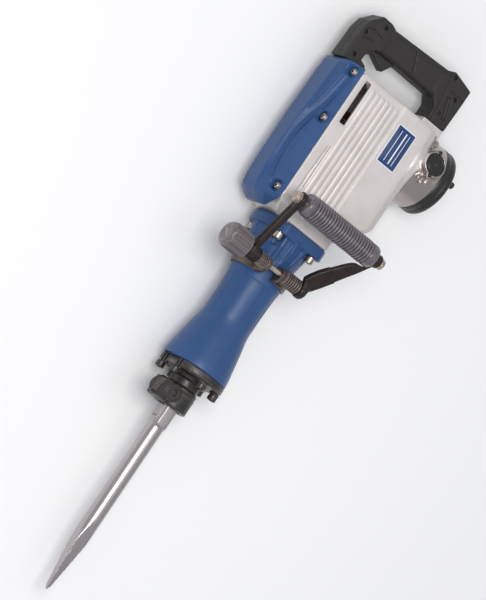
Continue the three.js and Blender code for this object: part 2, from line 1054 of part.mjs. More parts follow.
part("rubber_damper", ring(24, 34.1, 140.3, 150.2, 32), RUBBER());

// ---------------------------------------------------------------- D-handle
{
  const outline = [
    [-98, 574.6],
    [-95.5, 617],
    [-91, 638],
    [-75, 656],
    [71, 663],
    [79, 669],
    [119, 660],
    [119, 633],
    [117.5, 584.2],
    [79, 584.2],
    [79, 604],
    [70, 616],
    [-10, 616],
    [-56, 614],
    [-67, 602],
    [-68, 588],
    [-56, 584],
    [-56, 574.6],
  ];
  const g = 0.15;
  for (const [name, s] of [
    ["handle_shell_left", -1],
    ["handle_shell_right", 1],
  ]) {
    const span = (a, b) => (s < 0 ? [-b, -a] : [a, b]);
    const shell = prismY(outline, ...span(g, HANDLE_Y));
    // rounded-off outer corners of the grip
    const chamfer = [];
    for (const [z, up] of [
      [612, -1],
      [660, 1],
    ])
      chamfer.push(
        prismX(
          up < 0
            ? [
                [s * 21, 610],
                [s * 21, 628],
                [s * 10, 610],
              ]
            : [
                [s * 21, 668],
                [s * 21, 650],
                [s * 11, 668],
              ],
          -50,
          66,
        ),
      );
    const cavities = [
      box(-76, 84, ...span(-1, 15.5), 622, 650),
      box(-90, -72, ...span(-1, 15.5), 588, 640),
      box(84, 113, ...span(-1, 15.5), 589, 652),
      box(-66, -10, ...span(-1, 8.8), 596, 630),
    ];
    const holes =
      s > 0
        ? [
            cylY(-30, 628, 4.8, 10, 24, 16),
            cylY(98, 612, 6.2, 10, 24, 16),
          ]
        : [];
    part(name, cut(shell, ...chamfer, ...cavities, ...holes), PLASTIC());
  }
  const m = part(
    "trigger",
    prismY(
      [
        [-4, -4],
        [-1, -12],
        [7, -4],
        [37, -17],
        [46, -2],
        [47, 6],
        [2, 7],
        [-4, 4],
      ],
      -8.3,
      8.3,
    ),
    BLACK_PLASTIC(),
  );
  m.position.set(TRIGGER_PIVOT[0], 0, TRIGGER_PIVOT[1]);
  part("lock_button", cylY(-30, 628, 4.4, 12, 23.5, 16), BLACK_PLASTIC());
  part("switch_body", box(-56, -6, -11, 11, 634, 649), BLACK_PLASTIC());
  part(
    "cord_gland",
    cut(
      join(
        cylY(98, 612, 9, 20.3, 26, 18, 8),
        cylY(98, 612, 5.9, 16, 20.6, 16),
      ),
      cylY(98, 612, 4, 10, 30, 12),
    ),
    RUBBER(),
  );
}

// ---------------------------------------------------------------- side handle
{
  // band round the neck with two upright lugs for the bolt
  const band = cut(
    ring(BAND_NECK_R + GAP, BAND_NECK_R + 4.3, 236, 262, 48),
    box(-25, -2, -60, -30, 230, 270),
  );
  const lug = (x0, x1) =>
    prismX(
      [
        [-44.5, 236],
        [-57, 238],
        [-66, 243],
        [-69, 251],
        [-66, 259],
        [-57, 262],
        [-44.5, 262],
        [-33, 262],
        [-33, 236],
      ],
      x0,
      x1,
    ).subtract(cylZ(0, 0, BAND_NECK_R + GAP, 200, 300, 48));
  part(
    "clamp_band",
    cut(
      join(band, lug(-31, -25), lug(-2, 4)),
      cylX(BOLT_Y, BOLT_Z, 4.4, -60, 60, 16),
    ),
    DARK_STEEL(),
  );
  const hub = new THREE.Group();
  hub.position.set(0, BOLT_Y, BOLT_Z);
  tool.add(hub);
  part(
    "clamp_bolt",
    join(cylX(0, 0, 4, -88, 52, 16), cylX(0, 0, 8.5, 50, 56, 6)),
    ZINC(),
    hub,
  );
  // fluted clamping knob
  const flutes = [];
  for (let i = 0; i < 8; i++) {
    const a = (i * Math.PI) / 4;
    flutes.push(cylX(27 * Math.cos(a), 27 * Math.sin(a), 6.4, -112, -60, 12));
  }
  part(
    "clamp_knob",
    cut(
      latheX(
        [
          [0, -117],
          [16, -117],
          [21.5, -113],
          [23, -106],
          [23, -79],
          [20, -74.5],
          [13, -72.4],
          [0, -72.4],
        ],
        0,
        0,
        32,
      ),
      ...flutes,
      cylX(0, 0, 4.4, -90, -60, 16),
    ),
    PLASTIC(),
    hub,
  );
  const ribbed = (x0, x1, r0, r1, n) => {
    const pts = [[4.4, x0]],
      p = (x1 - x0) / n;
    for (let i = 0; i < n; i++)
      pts.push(
        [r0, x0 + i * p],
        [r1, x0 + (i + 0.22) * p],
        [r1, x0 + (i + 0.62) * p],
        [r0, x0 + (i + 0.84) * p],
      );
    pts.push([r0, x1], [4.4, x1], [4.4, x0]);
    return latheX(pts, 0, 0, 18);
  };
  part("serrated_collar_left", ribbed(-50.5, -31.3, 9.2, 11, 3), DARK_STEEL(), hub);
  part("serrated_collar_right", ribbed(4.3, 35.6, 10, 12.4, 4), DARK_STEEL(), hub);

  // loop frame: x along the bolt, v out to the grip, w across the loop
  const loop = new THREE.Group();
  loop.rotation.x = rad(LOOP_TILT);
  hub.add(loop);
  part(
    "side_arm_left",
    cut(
      join(
        cylX(0, 0, 12, -70, -51, 24),
        prismY(
          [
            [-70, -6],
            [-62, -6],
            [-61, 40],
            [-61, LOOP_L + 10],
            [-69, LOOP_L + 10],
            [-70, 40],
          ],
          -9,
          9,
        ),
        cylX(0, LOOP_L, 12, -69, -61, 20),
      ),
      cylX(0, 0, 4.4, -80, -40, 16),
      cylX(0, LOOP_L, 5.3, -80, -50, 12),
    ),
    DARK_STEEL(),
    loop,
  );
  const rightEdge = new THREE.CatmullRomCurve3(
    [
      [45, -6],
      [53, 3],
      [60.5, 12],
      [69.5, 29.5],
      [78, 49],
      [87, 69],
      [96, 88],
      [100.5, 101],
      [102, 118],
    ].map(([x, v]) => new THREE.Vector3(x, v, 0)),
  )
    .getPoints(14)
    .map((p) => [p.x, p.y]);
  const leftEdge = new THREE.CatmullRomCurve3(
    [
      [93, 118],
      [92, 98],
      [90.8, 89],
      [84, 84.5],
      [72, 80],
      [62, 68],
      [51, 49],
      [43, 31],
      [38, 14],
    ].map(([x, v]) => new THREE.Vector3(x, v, 0)),
  )
    .getPoints(14)
    .map((p) => [p.x, p.y]);
  part(
    "side_arm_right",
    cut(
      join(
        cylX(0, 0, 16, 36, 45, 28),
        prismY([[37, -8], ...rightEdge, ...leftEdge], -4.5, 4.5),
        cylX(0, LOOP_L, 11, 93, 102, 20),
      ),
      cylX(0, 0, 4.4, 20, 49, 16),
      box(45, 58, -11, 11, -12, 12),
      cylX(0, LOOP_L, 5.3, 70, 112, 12),
    ),
    DARK_STEEL(),
    loop,
  );
  // soft grip with moulded rings
  const g = [[6, GRIP_X0]];
  g.push([15, GRIP_X0], [18, GRIP_X0 + 2], [18.4, GRIP_X0 + 12]);
  const rings = 5,
    a = GRIP_X0 + 14,
    b = GRIP_X1 - 16,
    pitch = (b - a) / rings;
  for (let i = 0; i < rings; i++)
    g.push(
      [17.2, a + i * pitch],
      [GRIP_R, a + (i + 0.3) * pitch],
      [GRIP_R, a + (i + 0.7) * pitch],
    );
  g.push([17.2, b], [18.4, b + 2], [18.4, GRIP_X1 - 3], [15, GRIP_X1]);
  g.push([6, GRIP_X1], [6, GRIP_X0]);
  part("side_grip", latheX(g, 0, LOOP_L, 24), RUBBER(), loop);
  part(
    "grip_rod",
    join(
      cylX(0, LOOP_L, 5, -77, 109, 16),
      cylX(0, LOOP_L, 9.4, -78, -69.4, 6),
      cylX(0, LOOP_L, 9.4, 102.4, 110, 6),
    ),
    ZINC(),
    loop,
  );
}

// ---------------------------------------------------------------- the part's own frame
// chisel along +X, motor tail along +Y, up along +Z, origin under the middle of the box
const lying = new THREE.Group();
lying.matrixAutoUpdate = false;
lying.matrix.copy(basis([0, 1, 0], [0, 0, -1], [-1, 0, 0]));
lying.add(tool);
lying.updateMatrixWorld(true);
const extent = new THREE.Box3().setFromObject(lying, true);
const place = new THREE.Group();
place.add(lying);
place.position.set(
  -(extent.min.x + extent.max.x) / 2,
  -(extent.min.y + extent.max.y) / 2,
  -extent.min.z,
);
const jackhammer = new THREE.Group();
jackhammer.name = "electric_jackhammer";
jackhammer.add(place);
export default jackhammer;
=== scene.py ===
"""Electric demolition hammer: the looks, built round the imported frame.

Pieces are drawn in the tool's own millimetre frame (+z along the hammer axis towards the
D-handle, -x the gear cover side, -y the side that faces up) and moved to the row frame by
to_row(). Cast and moulded pieces are distance fields meshed with OpenVDB, turned pieces are
rings of vertices.
"""

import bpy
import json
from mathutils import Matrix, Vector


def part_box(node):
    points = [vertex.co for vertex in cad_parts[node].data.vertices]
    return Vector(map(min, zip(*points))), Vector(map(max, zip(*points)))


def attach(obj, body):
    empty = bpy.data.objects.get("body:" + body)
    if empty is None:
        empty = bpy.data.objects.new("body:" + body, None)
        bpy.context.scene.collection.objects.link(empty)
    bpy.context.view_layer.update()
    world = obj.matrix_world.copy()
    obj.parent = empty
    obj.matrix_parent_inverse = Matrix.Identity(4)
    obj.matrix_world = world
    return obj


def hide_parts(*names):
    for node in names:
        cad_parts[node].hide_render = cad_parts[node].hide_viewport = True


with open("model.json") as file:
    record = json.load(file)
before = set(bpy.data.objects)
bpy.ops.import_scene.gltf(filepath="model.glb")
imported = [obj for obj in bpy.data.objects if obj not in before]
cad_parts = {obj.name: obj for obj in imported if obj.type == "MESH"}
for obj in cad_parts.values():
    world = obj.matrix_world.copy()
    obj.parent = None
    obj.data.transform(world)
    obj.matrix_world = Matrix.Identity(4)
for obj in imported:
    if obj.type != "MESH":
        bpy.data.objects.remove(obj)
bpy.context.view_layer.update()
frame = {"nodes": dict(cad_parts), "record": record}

import json
import math

import bpy
import numpy as np
import openvdb as vdb
from mathutils import Matrix, Vector

OFFSET = (172.5, 26.5, 54.5)
SLOTS = {s["node"]: s["material_slot"] for s in frame["record"]["subparts"]}
BODY = {
    n: b
    for b, members in frame["record"]["behaviour"]["bodies"].items()
    for n in members
}


def to_row(p):
    p = np.asarray(p, float).reshape(-1, 3)
    return np.stack([OFFSET[0] - p[:, 2], p[:, 0] - OFFSET[1], OFFSET[2] - p[:, 1]], 1) / 1000


# ------------------------------------------------------------------ camera, lights, floor
def camera_and_stage():
    psi, tilt, roll, distance = math.radians(28.5), math.radians(8.0), math.radians(34.0), 5960.0
    d = np.array([math.sin(psi) * math.cos(tilt), math.cos(psi) * math.cos(tilt), math.sin(tilt)])
    r = np.array([math.cos(psi), -math.sin(psi), 0.0])
    u = np.cross(r, d)
    aim = np.array([2.472, -1.342, 195.50])
    place = aim - d * distance
    turn = lambda v: np.array([-v[2], v[0], -v[1]])
    right = turn(math.cos(roll) * r + math.sin(roll) * u)
    up = turn(-math.sin(roll) * r + math.cos(roll) * u)
    back = turn(-d)
    cam = bpy.data.cameras.new("camera")
    cam.lens = 240.0
    cam.sensor_width = cam.sensor_height = 36.0
    cam.sensor_fit = "VERTICAL"
    cam.clip_end = 50
    o = bpy.data.objects.new("camera", cam)
    m = Matrix.Identity(4)
    for i in range(3):
        m[i][0], m[i][1], m[i][2] = right[i], up[i], back[i]
    loc = to_row(place)[0]
    for i in range(3):
        m[i][3] = loc[i]
    o.matrix_world = m
    bpy.context.scene.collection.objects.link(o)
    bpy.context.scene.camera = o
    bpy.context.scene.view_settings.view_transform = "Standard"

    world = bpy.data.worlds.new("studio")
    bpy.context.scene.world = world
    world.use_nodes = True
    nt = world.node_tree
    bg = nt.nodes["Background"]
    bg.inputs["Color"].default_value = (0.93, 0.95, 1.0, 1)
    bg.inputs["Strength"].default_value = 0.55

    def area(name, at, target, size, watts, color=(1, 1, 1), size_y=None):
        light = bpy.data.lights.new(name, "AREA")
        light.energy = watts
        light.color = color
        light.size = size
        if size_y:
            light.shape = "RECTANGLE"
            light.size_y = size_y
        o = bpy.data.objects.new(name, light)
        o.location = at
        o.rotation_euler = (Vector(target) - Vector(at)).to_track_quat("-Z", "Y").to_euler()
        bpy.context.scene.collection.objects.link(o)

    area("key", (0.0, -0.85, 2.35), (0, 0, 0.05), 1.1, 30, (1.0, 0.985, 0.965))
    area("top_fill", (-0.5, 0.5, 2.4), (0, 0, 0.05), 1.2, 4, (1.0, 0.98, 0.95))
    area("rim", (1.7, -0.6, 1.5), (0, 0, 0.05), 0.8, 2, (0.95, 0.97, 1.0))

    me = bpy.data.meshes.new("floor")
    me.from_pydata([(-9, -9, 0), (9, -9, 0), (9, 9, 0), (-9, 9, 0)], [], [(0, 1, 2, 3)])
    floor = bpy.data.objects.new("floor", me)
    bpy.context.scene.collection.objects.link(floor)
    m = bpy.data.materials.new("floor_paper")
    m.use_nodes = True
    b = m.node_tree.nodes["Principled BSDF"]
    b.inputs["Base Color"].default_value = (0.94, 0.94, 0.94, 1)
    b.inputs["Roughness"].default_value = 0.95
    me.materials.append(m)


camera_and_stage()


# ------------------------------------------------------------------ materials
def lin(c):
    return tuple((v / 255 / 12.92) if v / 255 <= 0.04045 else ((v / 255 + 0.055) / 1.055) ** 2.4 for v in c)


def material(
    name,
    color,
    rough,
    metal=0.0,
    vary=0.10,
    vary_scale=30,
    grain=0.15,
    grain_scale=900,
    rough_vary=0.12,
    wear_and_highlight=None,
    wear_and_highlight_at=(0.53, 0.60),
    grime_and_shade=None,
    grime_and_shade_at=(0.40, 0.485),
    coat=0.0,
    coat_rough=0.2,
    stretch=(1, 1, 1),
    lumps=0.0,
    lump_scale=60,
    speckle=None,
    sheen=0.0,
    spec=0.5,
):
    m = bpy.data.materials.new(name)
    m.use_nodes = True
    nt = m.node_tree
    N, L = nt.nodes, nt.links
    bsdf = N["Principled BSDF"]
    tc = N.new("ShaderNodeTexCoord")
    mp = N.new("ShaderNodeMapping")
    mp.inputs["Scale"].default_value = stretch
    L.new(tc.outputs["Object"], mp.inputs["Vector"])

    def noise(scale, detail=4, rough_=0.6, vec=mp.outputs["Vector"]):
        n = N.new("ShaderNodeTexNoise")
        n.inputs["Scale"].default_value = scale
        n.inputs["Detail"].default_value = detail
        n.inputs["Roughness"].default_value = rough_
        L.new(vec, n.inputs["Vector"])
        return n.outputs["Fac"]

    def ramp(fac, a, b, lo, hi):
        r = N.new("ShaderNodeMapRange")
        r.inputs["From Min"].default_value = a
        r.inputs["From Max"].default_value = b
        r.inputs["To Min"].default_value = lo
        r.inputs["To Max"].default_value = hi
        L.new(fac, r.inputs["Value"])
        return r.outputs["Result"]

    def mix(fac, a, b, mode="MIX"):
        x = N.new("ShaderNodeMix")
        x.data_type = "RGBA"
        x.blend_type = mode
        for key, v in ((6, a), (7, b)):
            if isinstance(v, tuple):
                x.inputs[key].default_value = (*v, 1) if len(v) == 3 else v
            else:
                L.new(v, x.inputs[key])
        if isinstance(fac, float):
            x.inputs[0].default_value = fac
        else:
            L.new(fac, x.inputs[0])
        return x.outputs[2]

    base = lin(color)
    dark = tuple(c * (1 - vary) for c in base)
    light = tuple(min(1, c * (1 + vary)) for c in base)
    col = mix(ramp(noise(vary_scale, 5), 0.35, 0.65, 0, 1), dark, light)
    fine = mix(ramp(noise(grain_scale, 2), 0.35, 0.65, 0, 1), (0.94, 0.94, 0.94), (1.05, 1.05, 1.05))
    col = mix(1.0, col, fine, "MULTIPLY")
    if speckle:
        v = N.new("ShaderNodeTexVoronoi")
        v.inputs["Scale"].default_value = speckle[1]
        L.new(mp.outputs["Vector"], v.inputs["Vector"])
        col = mix(ramp(v.outputs["Distance"], 0.05, 0.16, speckle[2], 0), col, lin(speckle[0]))
    if wear_and_highlight or grime_and_shade:
        g = N.new("ShaderNodeNewGeometry")
        breakup = ramp(noise(120, 5, 0.7), 0.4, 0.62, 0, 1)
        # concave spots (low pointiness) take a darker colour: partly grime, partly painted shade in creases and
        # recesses
        if grime_and_shade:
            f = ramp(g.outputs["Pointiness"], grime_and_shade_at[0], grime_and_shade_at[1], 1, 0)
            mm = N.new("ShaderNodeMath")
            mm.operation = "MULTIPLY"
            L.new(f, mm.inputs[0])
            mm.inputs[1].default_value = grime_and_shade[1]
            col = mix(mm.outputs[0], col, lin(grime_and_shade[0]))
        # convex edges (high pointiness) take a lighter colour: partly worn edges, partly painted highlight along
        # crests and rims
        if wear_and_highlight:
            f = ramp(g.outputs["Pointiness"], wear_and_highlight_at[0], wear_and_highlight_at[1], 0, 1)
            mm = N.new("ShaderNodeMath")
            mm.operation = "MULTIPLY"
            L.new(f, mm.inputs[0])
            m2 = N.new("ShaderNodeMath")
            m2.operation = "MULTIPLY_ADD"
            L.new(breakup, m2.inputs[0])
            m2.inputs[1].default_value = wear_and_highlight[1] * 0.7
            m2.inputs[2].default_value = wear_and_highlight[1] * 0.3
            L.new(m2.outputs[0], mm.inputs[1])
            col = mix(mm.outputs[0], col, lin(wear_and_highlight[0]))
    L.new(col, bsdf.inputs["Base Color"])
    L.new(
        ramp(noise(vary_scale * 3, 5), 0.3, 0.7, max(0.03, rough - rough_vary), min(1, rough + rough_vary)),
        bsdf.inputs["Roughness"],
    )
    bsdf.inputs["Metallic"].default_value = metal
    bsdf.inputs["Coat Weight"].default_value = coat
    bsdf.inputs["Coat Roughness"].default_value = coat_rough
    bsdf.inputs["Specular IOR Level"].default_value = spec
    if sheen:
        bsdf.inputs["Sheen Weight"].default_value = sheen
    bump = N.new("ShaderNodeBump")
    bump.inputs["Strength"].default_value = grain
    bump.inputs["Distance"].default_value = 0.0004
    L.new(noise(grain_scale, 3, 0.7), bump.inputs["Height"])
    if lumps:
        b2 = N.new("ShaderNodeBump")
        b2.inputs["Strength"].default_value = lumps
        b2.inputs["Distance"].default_value = 0.003
        L.new(noise(lump_scale, 2, 0.5), b2.inputs["Height"])
        L.new(b2.outputs["Normal"], bump.inputs["Normal"])
    L.new(bump.outputs["Normal"], bsdf.inputs["Normal"])
    return m


# each material's lighter edge colour is partly a painted highlight and its darker crease colour partly painted shade
MATS = {
    # blue paint: the lighter blue on edges is a painted highlight, the darker blue in creases painted shade
    "blue_paint": material("blue_paint", (46, 79, 126), 0.40, 0.0, 0.06, 18, 0.10, 1400, 0.06, wear_and_highlight=((96, 130, 178), 0.6), wear_and_highlight_at=(0.53, 0.61), grime_and_shade=((20, 36, 66), 0.8), coat=0.16, coat_rough=0.28, spec=0.24),
    "silver_casting": material("silver_casting", (212, 205, 202), 0.40, 0.35, 0.06, 22, 0.30, 1100, 0.08, wear_and_highlight=((236, 233, 230), 0.7), wear_and_highlight_at=(0.52, 0.58), grime_and_shade=((128, 116, 108), 0.8), grime_and_shade_at=(0.42, 0.49), speckle=((176, 168, 164), 900, 0.25)),
    "silver_polished": material("silver_polished", (168, 160, 156), 0.24, 0.85, 0.12, 40, 0.12, 900, 0.08, wear_and_highlight=((240, 238, 236), 0.7), grime_and_shade=((84, 74, 68), 0.85), lumps=0.55, lump_scale=75),
    # black casting: the lighter colour along the flange rim's edge is partly a painted highlight
    "black_casting": material("black_casting", (57, 54, 53), 0.36, 0.4, 0.2, 60, 0.35, 700, 0.12, wear_and_highlight=((150, 140, 126), 0.7), wear_and_highlight_at=(0.515, 0.575), grime_and_shade=((18, 16, 14), 0.6), lumps=0.12, lump_scale=180),
    "black_steel": material("black_steel", (38, 35, 33), 0.34, 0.5, 0.2, 90, 0.15, 1200, 0.1, wear_and_highlight=((140, 130, 118), 0.6), grime_and_shade=((16, 14, 12), 0.7)),
    "zinc_steel": material("zinc_steel", (182, 168, 152), 0.28, 0.95, 0.12, 90, 0.12, 1300, 0.1, wear_and_highlight=((232, 224, 214), 0.6), grime_and_shade=((60, 48, 38), 0.75)),
    "grey_plastic": material("grey_plastic", (47, 44, 43), 0.50, 0.0, 0.06, 40, 0.35, 1500, 0.08, wear_and_highlight=((98, 94, 91), 0.55), grime_and_shade=((26, 24, 23), 0.65), spec=0.32),
    # knob: darker flute valleys are painted shade and lighter lobes painted highlight
    "knob_plastic": material("knob_plastic", (98, 90, 92), 0.36, 0.0, 0.06, 40, 0.25, 1500, 0.08, wear_and_highlight=((176, 168, 168), 0.7), wear_and_highlight_at=(0.51, 0.57), grime_and_shade=((44, 38, 38), 0.75), grime_and_shade_at=(0.42, 0.495), coat=0.3),
    "black_plastic": material("black_plastic", (33, 31, 30), 0.34, 0.0, 0.12, 50, 0.2, 1300, 0.08, wear_and_highlight=((76, 73, 70), 0.5), grime_and_shade=((12, 12, 12), 0.5)),
    # grip: darker rib valleys are painted shade and bright rib crests painted highlight
    "grip_rubber": material("grip_rubber", (80, 73, 80), 0.27, 0.0, 0.10, 60, 0.22, 1400, 0.1, wear_and_highlight=((178, 170, 178), 0.75), wear_and_highlight_at=(0.51, 0.58), grime_and_shade=((20, 18, 20), 0.9), grime_and_shade_at=(0.41, 0.495), coat=0.5, coat_rough=0.22),
    "black_rubber": material("black_rubber", (36, 36, 37), 0.6, 0.0, 0.1, 60, 0.3, 1000, 0.1),
    "collar_steel": material("collar_steel", (128, 114, 110), 0.36, 0.7, 0.18, 80, 0.25, 900, 0.12, wear_and_highlight=((206, 192, 184), 0.7), grime_and_shade=((50, 40, 36), 0.85)),
    "dark_steel": material("dark_steel", (50, 42, 39), 0.32, 0.5, 0.2, 70, 0.25, 900, 0.12, wear_and_highlight=((190, 178, 164), 0.6), grime_and_shade=((24, 19, 16), 0.75), lumps=0.10, lump_scale=120),
    "band_steel": material("band_steel", (104, 92, 84), 0.38, 0.75, 0.2, 70, 0.2, 900, 0.1, wear_and_highlight=((205, 192, 180), 0.6), grime_and_shade=((58, 46, 38), 0.75)),
    "chisel_steel": material("chisel_steel", (180, 173, 174), 0.27, 0.95, 0.05, 45, 0.07, 1100, 0.05, wear_and_highlight=((236, 230, 230), 0.5), grime_and_shade=((110, 98, 96), 0.5), stretch=(0.12, 1, 1)),
    "machined_steel": material("machined_steel", (170, 170, 172), 0.25, 0.95, 0.08, 80, 0.1, 1500, 0.08, wear_and_highlight=((225, 225, 228), 0.5), grime_and_shade=((70, 62, 52), 0.6)),
    "winding_copper": material("winding_copper", (176, 104, 58), 0.35, 0.8, 0.18, 140, 0.4, 500, 0.1, grime_and_shade=((60, 30, 18), 0.7)),
    "carbon": material("carbon", (40, 40, 42), 0.55, 0.3, 0.15, 150, 0.3, 1400, 0.1),
    "blue_label": None,
}


def label_material():
    """Plain blue plate with a white border and three plain white bars."""
    m = bpy.data.materials.new("blue_label")
    m.use_nodes = True
    nt = m.node_tree
    N, L = nt.nodes, nt.links
    bsdf = N["Principled BSDF"]
    g = N.new("ShaderNodeTexCoord")
    sep = N.new("ShaderNodeSeparateXYZ")
    L.new(g.outputs["Object"], sep.inputs[0])
    lo, hi = to_row([27.0, -55, 544.0])[0], to_row([63.6, -55, 477.6])[0]

    def math_(op, a, b=0.0):
        n = N.new("ShaderNodeMath")
        n.operation = op
        for i, v in enumerate((a, b)):
            if isinstance(v, float):
                n.inputs[i].default_value = v
            else:
                L.new(v, n.inputs[i])
        return n.outputs[0]

    def dist_from_edge(axis, a, b):
        c, h = (a + b) / 2, abs(b - a) / 2
        d = math_("ABSOLUTE", math_("SUBTRACT", sep.outputs[axis], float(c)))
        return math_("SUBTRACT", float(h), d)

    ex, ey = dist_from_edge(0, lo[0], hi[0]), dist_from_edge(1, lo[1], hi[1])
    edge = math_("LESS_THAN", math_("MINIMUM", ex, ey), 0.0014)
    bars = None
    for at, wide in ((0.30, 0.0005), (0.56, 0.0011), (0.74, 0.0005)):
        y = lo[1] + (hi[1] - lo[1]) * at
        b = math_("LESS_THAN", math_("ABSOLUTE", math_("SUBTRACT", sep.outputs[1], float(y))), wide)
        bars = b if bars is None else math_("MAXIMUM", bars, b)
    bars = math_("MULTIPLY", bars, math_("GREATER_THAN", ex, 0.0065))
    mask = math_("MAXIMUM", edge, bars)
    n = N.new("ShaderNodeTexNoise")
    n.inputs["Scale"].default_value = 300
    L.new(g.outputs["Object"], n.inputs["Vector"])
    mx = N.new("ShaderNodeMix")
    mx.data_type = "RGBA"
    L.new(n.outputs["Fac"], mx.inputs[0])
    mx.inputs[6].default_value = (*lin((16, 50, 100)), 1)
    mx.inputs[7].default_value = (*lin((24, 62, 118)), 1)
    m2 = N.new("ShaderNodeMix")
    m2.data_type = "RGBA"
    L.new(mask, m2.inputs[0])
    L.new(mx.outputs[2], m2.inputs[6])
    m2.inputs[7].default_value = (*lin((236, 240, 246)), 1)
    L.new(m2.outputs[2], bsdf.inputs["Base Color"])
    bsdf.inputs["Roughness"].default_value = 0.35
    bsdf.inputs["Coat Weight"].default_value = 0.3
    bp = N.new("ShaderNodeBump")
    bp.inputs["Strength"].default_value = 0.08
    bp.inputs["Distance"].default_value = 0.0003
    L.new(n.outputs["Fac"], bp.inputs["Height"])
    L.new(bp.outputs["Normal"], bsdf.inputs["Normal"])
    return m


MATS["blue_label"] = label_material()


def housing_material():
    """The silver casting, turning to bright, polished metal over the round motor tail, where its colour is darkened,
    partly as painted shade.
    """
    m = MATS["silver_casting"].copy()
    m.name = "silver_casting_tail"
    nt = m.node_tree
    N, L = nt.nodes, nt.links
    bsdf = N["Principled BSDF"]
    tc = N.new("ShaderNodeTexCoord")
    sep = N.new("ShaderNodeSeparateXYZ")
    L.new(tc.outputs["Object"], sep.inputs[0])

    def step(value, a, b, lo=0.0, hi=1.0):
        r = N.new("ShaderNodeMapRange")
        for key, v in (("From Min", a), ("From Max", b), ("To Min", lo), ("To Max", hi)):
            r.inputs[key].default_value = v
        L.new(value, r.inputs["Value"])
        return r.outputs["Result"]

    def calc(op, a, b=None):
        n = N.new("ShaderNodeMath")
        n.operation = op
        for i, v in enumerate((a, b)):
            if isinstance(v, float):
                n.inputs[i].default_value = v
            elif v is not None:
                L.new(v, n.inputs[i])
        return n.outputs[0]

    across = calc("ABSOLUTE", calc("SUBTRACT", sep.outputs[2], 0.0545))
    seat = calc("MULTIPLY", step(sep.outputs[0], -0.3925, -0.3945), step(across, 0.0285, 0.0265))
    fac = calc("MULTIPLY", step(sep.outputs[1], 0.0672, 0.0696), calc("SUBTRACT", 1.0, seat))
    # over the tail the colour is multiplied darker: partly the darker polished metal, partly painted shade
    col = bsdf.inputs["Base Color"].links[0].from_socket
    mx = N.new("ShaderNodeMix")
    mx.data_type = "RGBA"
    mx.blend_type = "MULTIPLY"
    L.new(fac, mx.inputs[0])
    L.new(col, mx.inputs[6])
    mx.inputs[7].default_value = (0.60, 0.575, 0.56, 1)
    L.new(mx.outputs[2], bsdf.inputs["Base Color"])
    rough = bsdf.inputs["Roughness"].links[0].from_socket
    L.new(calc("SUBTRACT", rough, calc("MULTIPLY", fac, 0.17)), bsdf.inputs["Roughness"])
    L.new(step(fac, 0.0, 1.0, 0.35, 0.85), bsdf.inputs["Metallic"])
    return m


# ------------------------------------------------------------------ pieces from meshes
def mesh_object(name, verts, tris, quads, mat, angle=None, row=False):
    verts = np.asarray(verts, float)
    tris = np.asarray(tris, np.int32).reshape(-1, 3)
    quads = np.asarray(quads, np.int32).reshape(-1, 4)
    v = verts if row else to_row(verts)
    t = np.concatenate([tris, quads[:, [0, 1, 2]], quads[:, [0, 2, 3]]])
    a, b, c = v[t[:, 0]], v[t[:, 1]], v[t[:, 2]]
    if np.einsum("ij,ij->i", a, np.cross(b, c)).sum() < 0:
        tris, quads = tris[:, ::-1], quads[:, ::-1]
    me = bpy.data.meshes.new(name)
    me.vertices.add(len(v))
    me.vertices.foreach_set("co", v.astype(np.float32).ravel())
    loops = np.concatenate([tris.ravel(), quads.ravel()]).astype(np.int32)
    me.loops.add(len(loops))
    me.loops.foreach_set("vertex_index", loops)
    starts = np.concatenate(
        [np.arange(len(tris)) * 3, len(tris) * 3 + np.arange(len(quads)) * 4]
    ).astype(np.int32)
    me.polygons.add(len(starts))
    me.polygons.foreach_set("loop_start", starts)
    me.update(calc_edges=True)
    me.validate()
    me.shade_smooth()
    if angle is not None:
        me.set_sharp_from_angle(angle=math.radians(angle))
    me.materials.append(MATS[mat] if isinstance(mat, str) else mat)
    o = bpy.data.objects.new(name, me)
    bpy.context.scene.collection.objects.link(o)
    return o


def stands_for(o, *nodes, body=None, slot=None):
    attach(o, body or BODY[nodes[0]])
    if nodes:
        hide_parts(*nodes)
    return o


def merge(parts):
    """Joins (verts, tris, quads) lists into one."""
    V, T, Q, n = [], [], [], 0
    for v, t, q in parts:
        V.append(np.asarray(v, float).reshape(-1, 3))
        T.append(np.asarray(t, int).reshape(-1, 3) + n)
        Q.append(np.asarray(q, int).reshape(-1, 4) + n)
        n += len(V[-1])
    return np.concatenate(V), np.concatenate(T), np.concatenate(Q)


def outward(v, t, q):
    v, t, q = np.asarray(v, float), np.asarray(t, int).reshape(-1, 3), np.asarray(q, int).reshape(-1, 4)
    tt = np.concatenate([t, q[:, [0, 1, 2]], q[:, [0, 2, 3]]])
    a, b, c = v[tt[:, 0]], v[tt[:, 1]], v[tt[:, 2]]
    if np.einsum("ij,ij->i", a, np.cross(b, c)).sum() < 0:
        t, q = t[:, ::-1], q[:, ::-1]
    return v, t, q


def skin(rings, closed=False):
    """Quads between rings of equal count; ends are closed by fans unless the rings close on themselves."""
    n = len(rings[0])
    V = np.concatenate([np.asarray(r, float) for r in rings])
    i = np.arange(n)
    j = (i + 1) % n
    Q = []
    m = len(rings)
    for k in range(m if closed else m - 1):
        a, b = k * n, ((k + 1) % m) * n
        Q.append(np.stack([a + i, a + j, b + j, b + i], 1))
    Q = np.concatenate(Q)
    T = np.zeros((0, 3), int)
    if not closed:
        c0, c1 = len(V), len(V) + 1
        V = np.concatenate([V, [np.mean(rings[0], 0)], [np.mean(rings[-1], 0)]])
        b = (m - 1) * n
        T = np.concatenate([np.stack([j, i, np.full(n, c0)], 1), np.stack([b + i, b + j, np.full(n, c1)], 1)])
    return outward(V, T, Q)


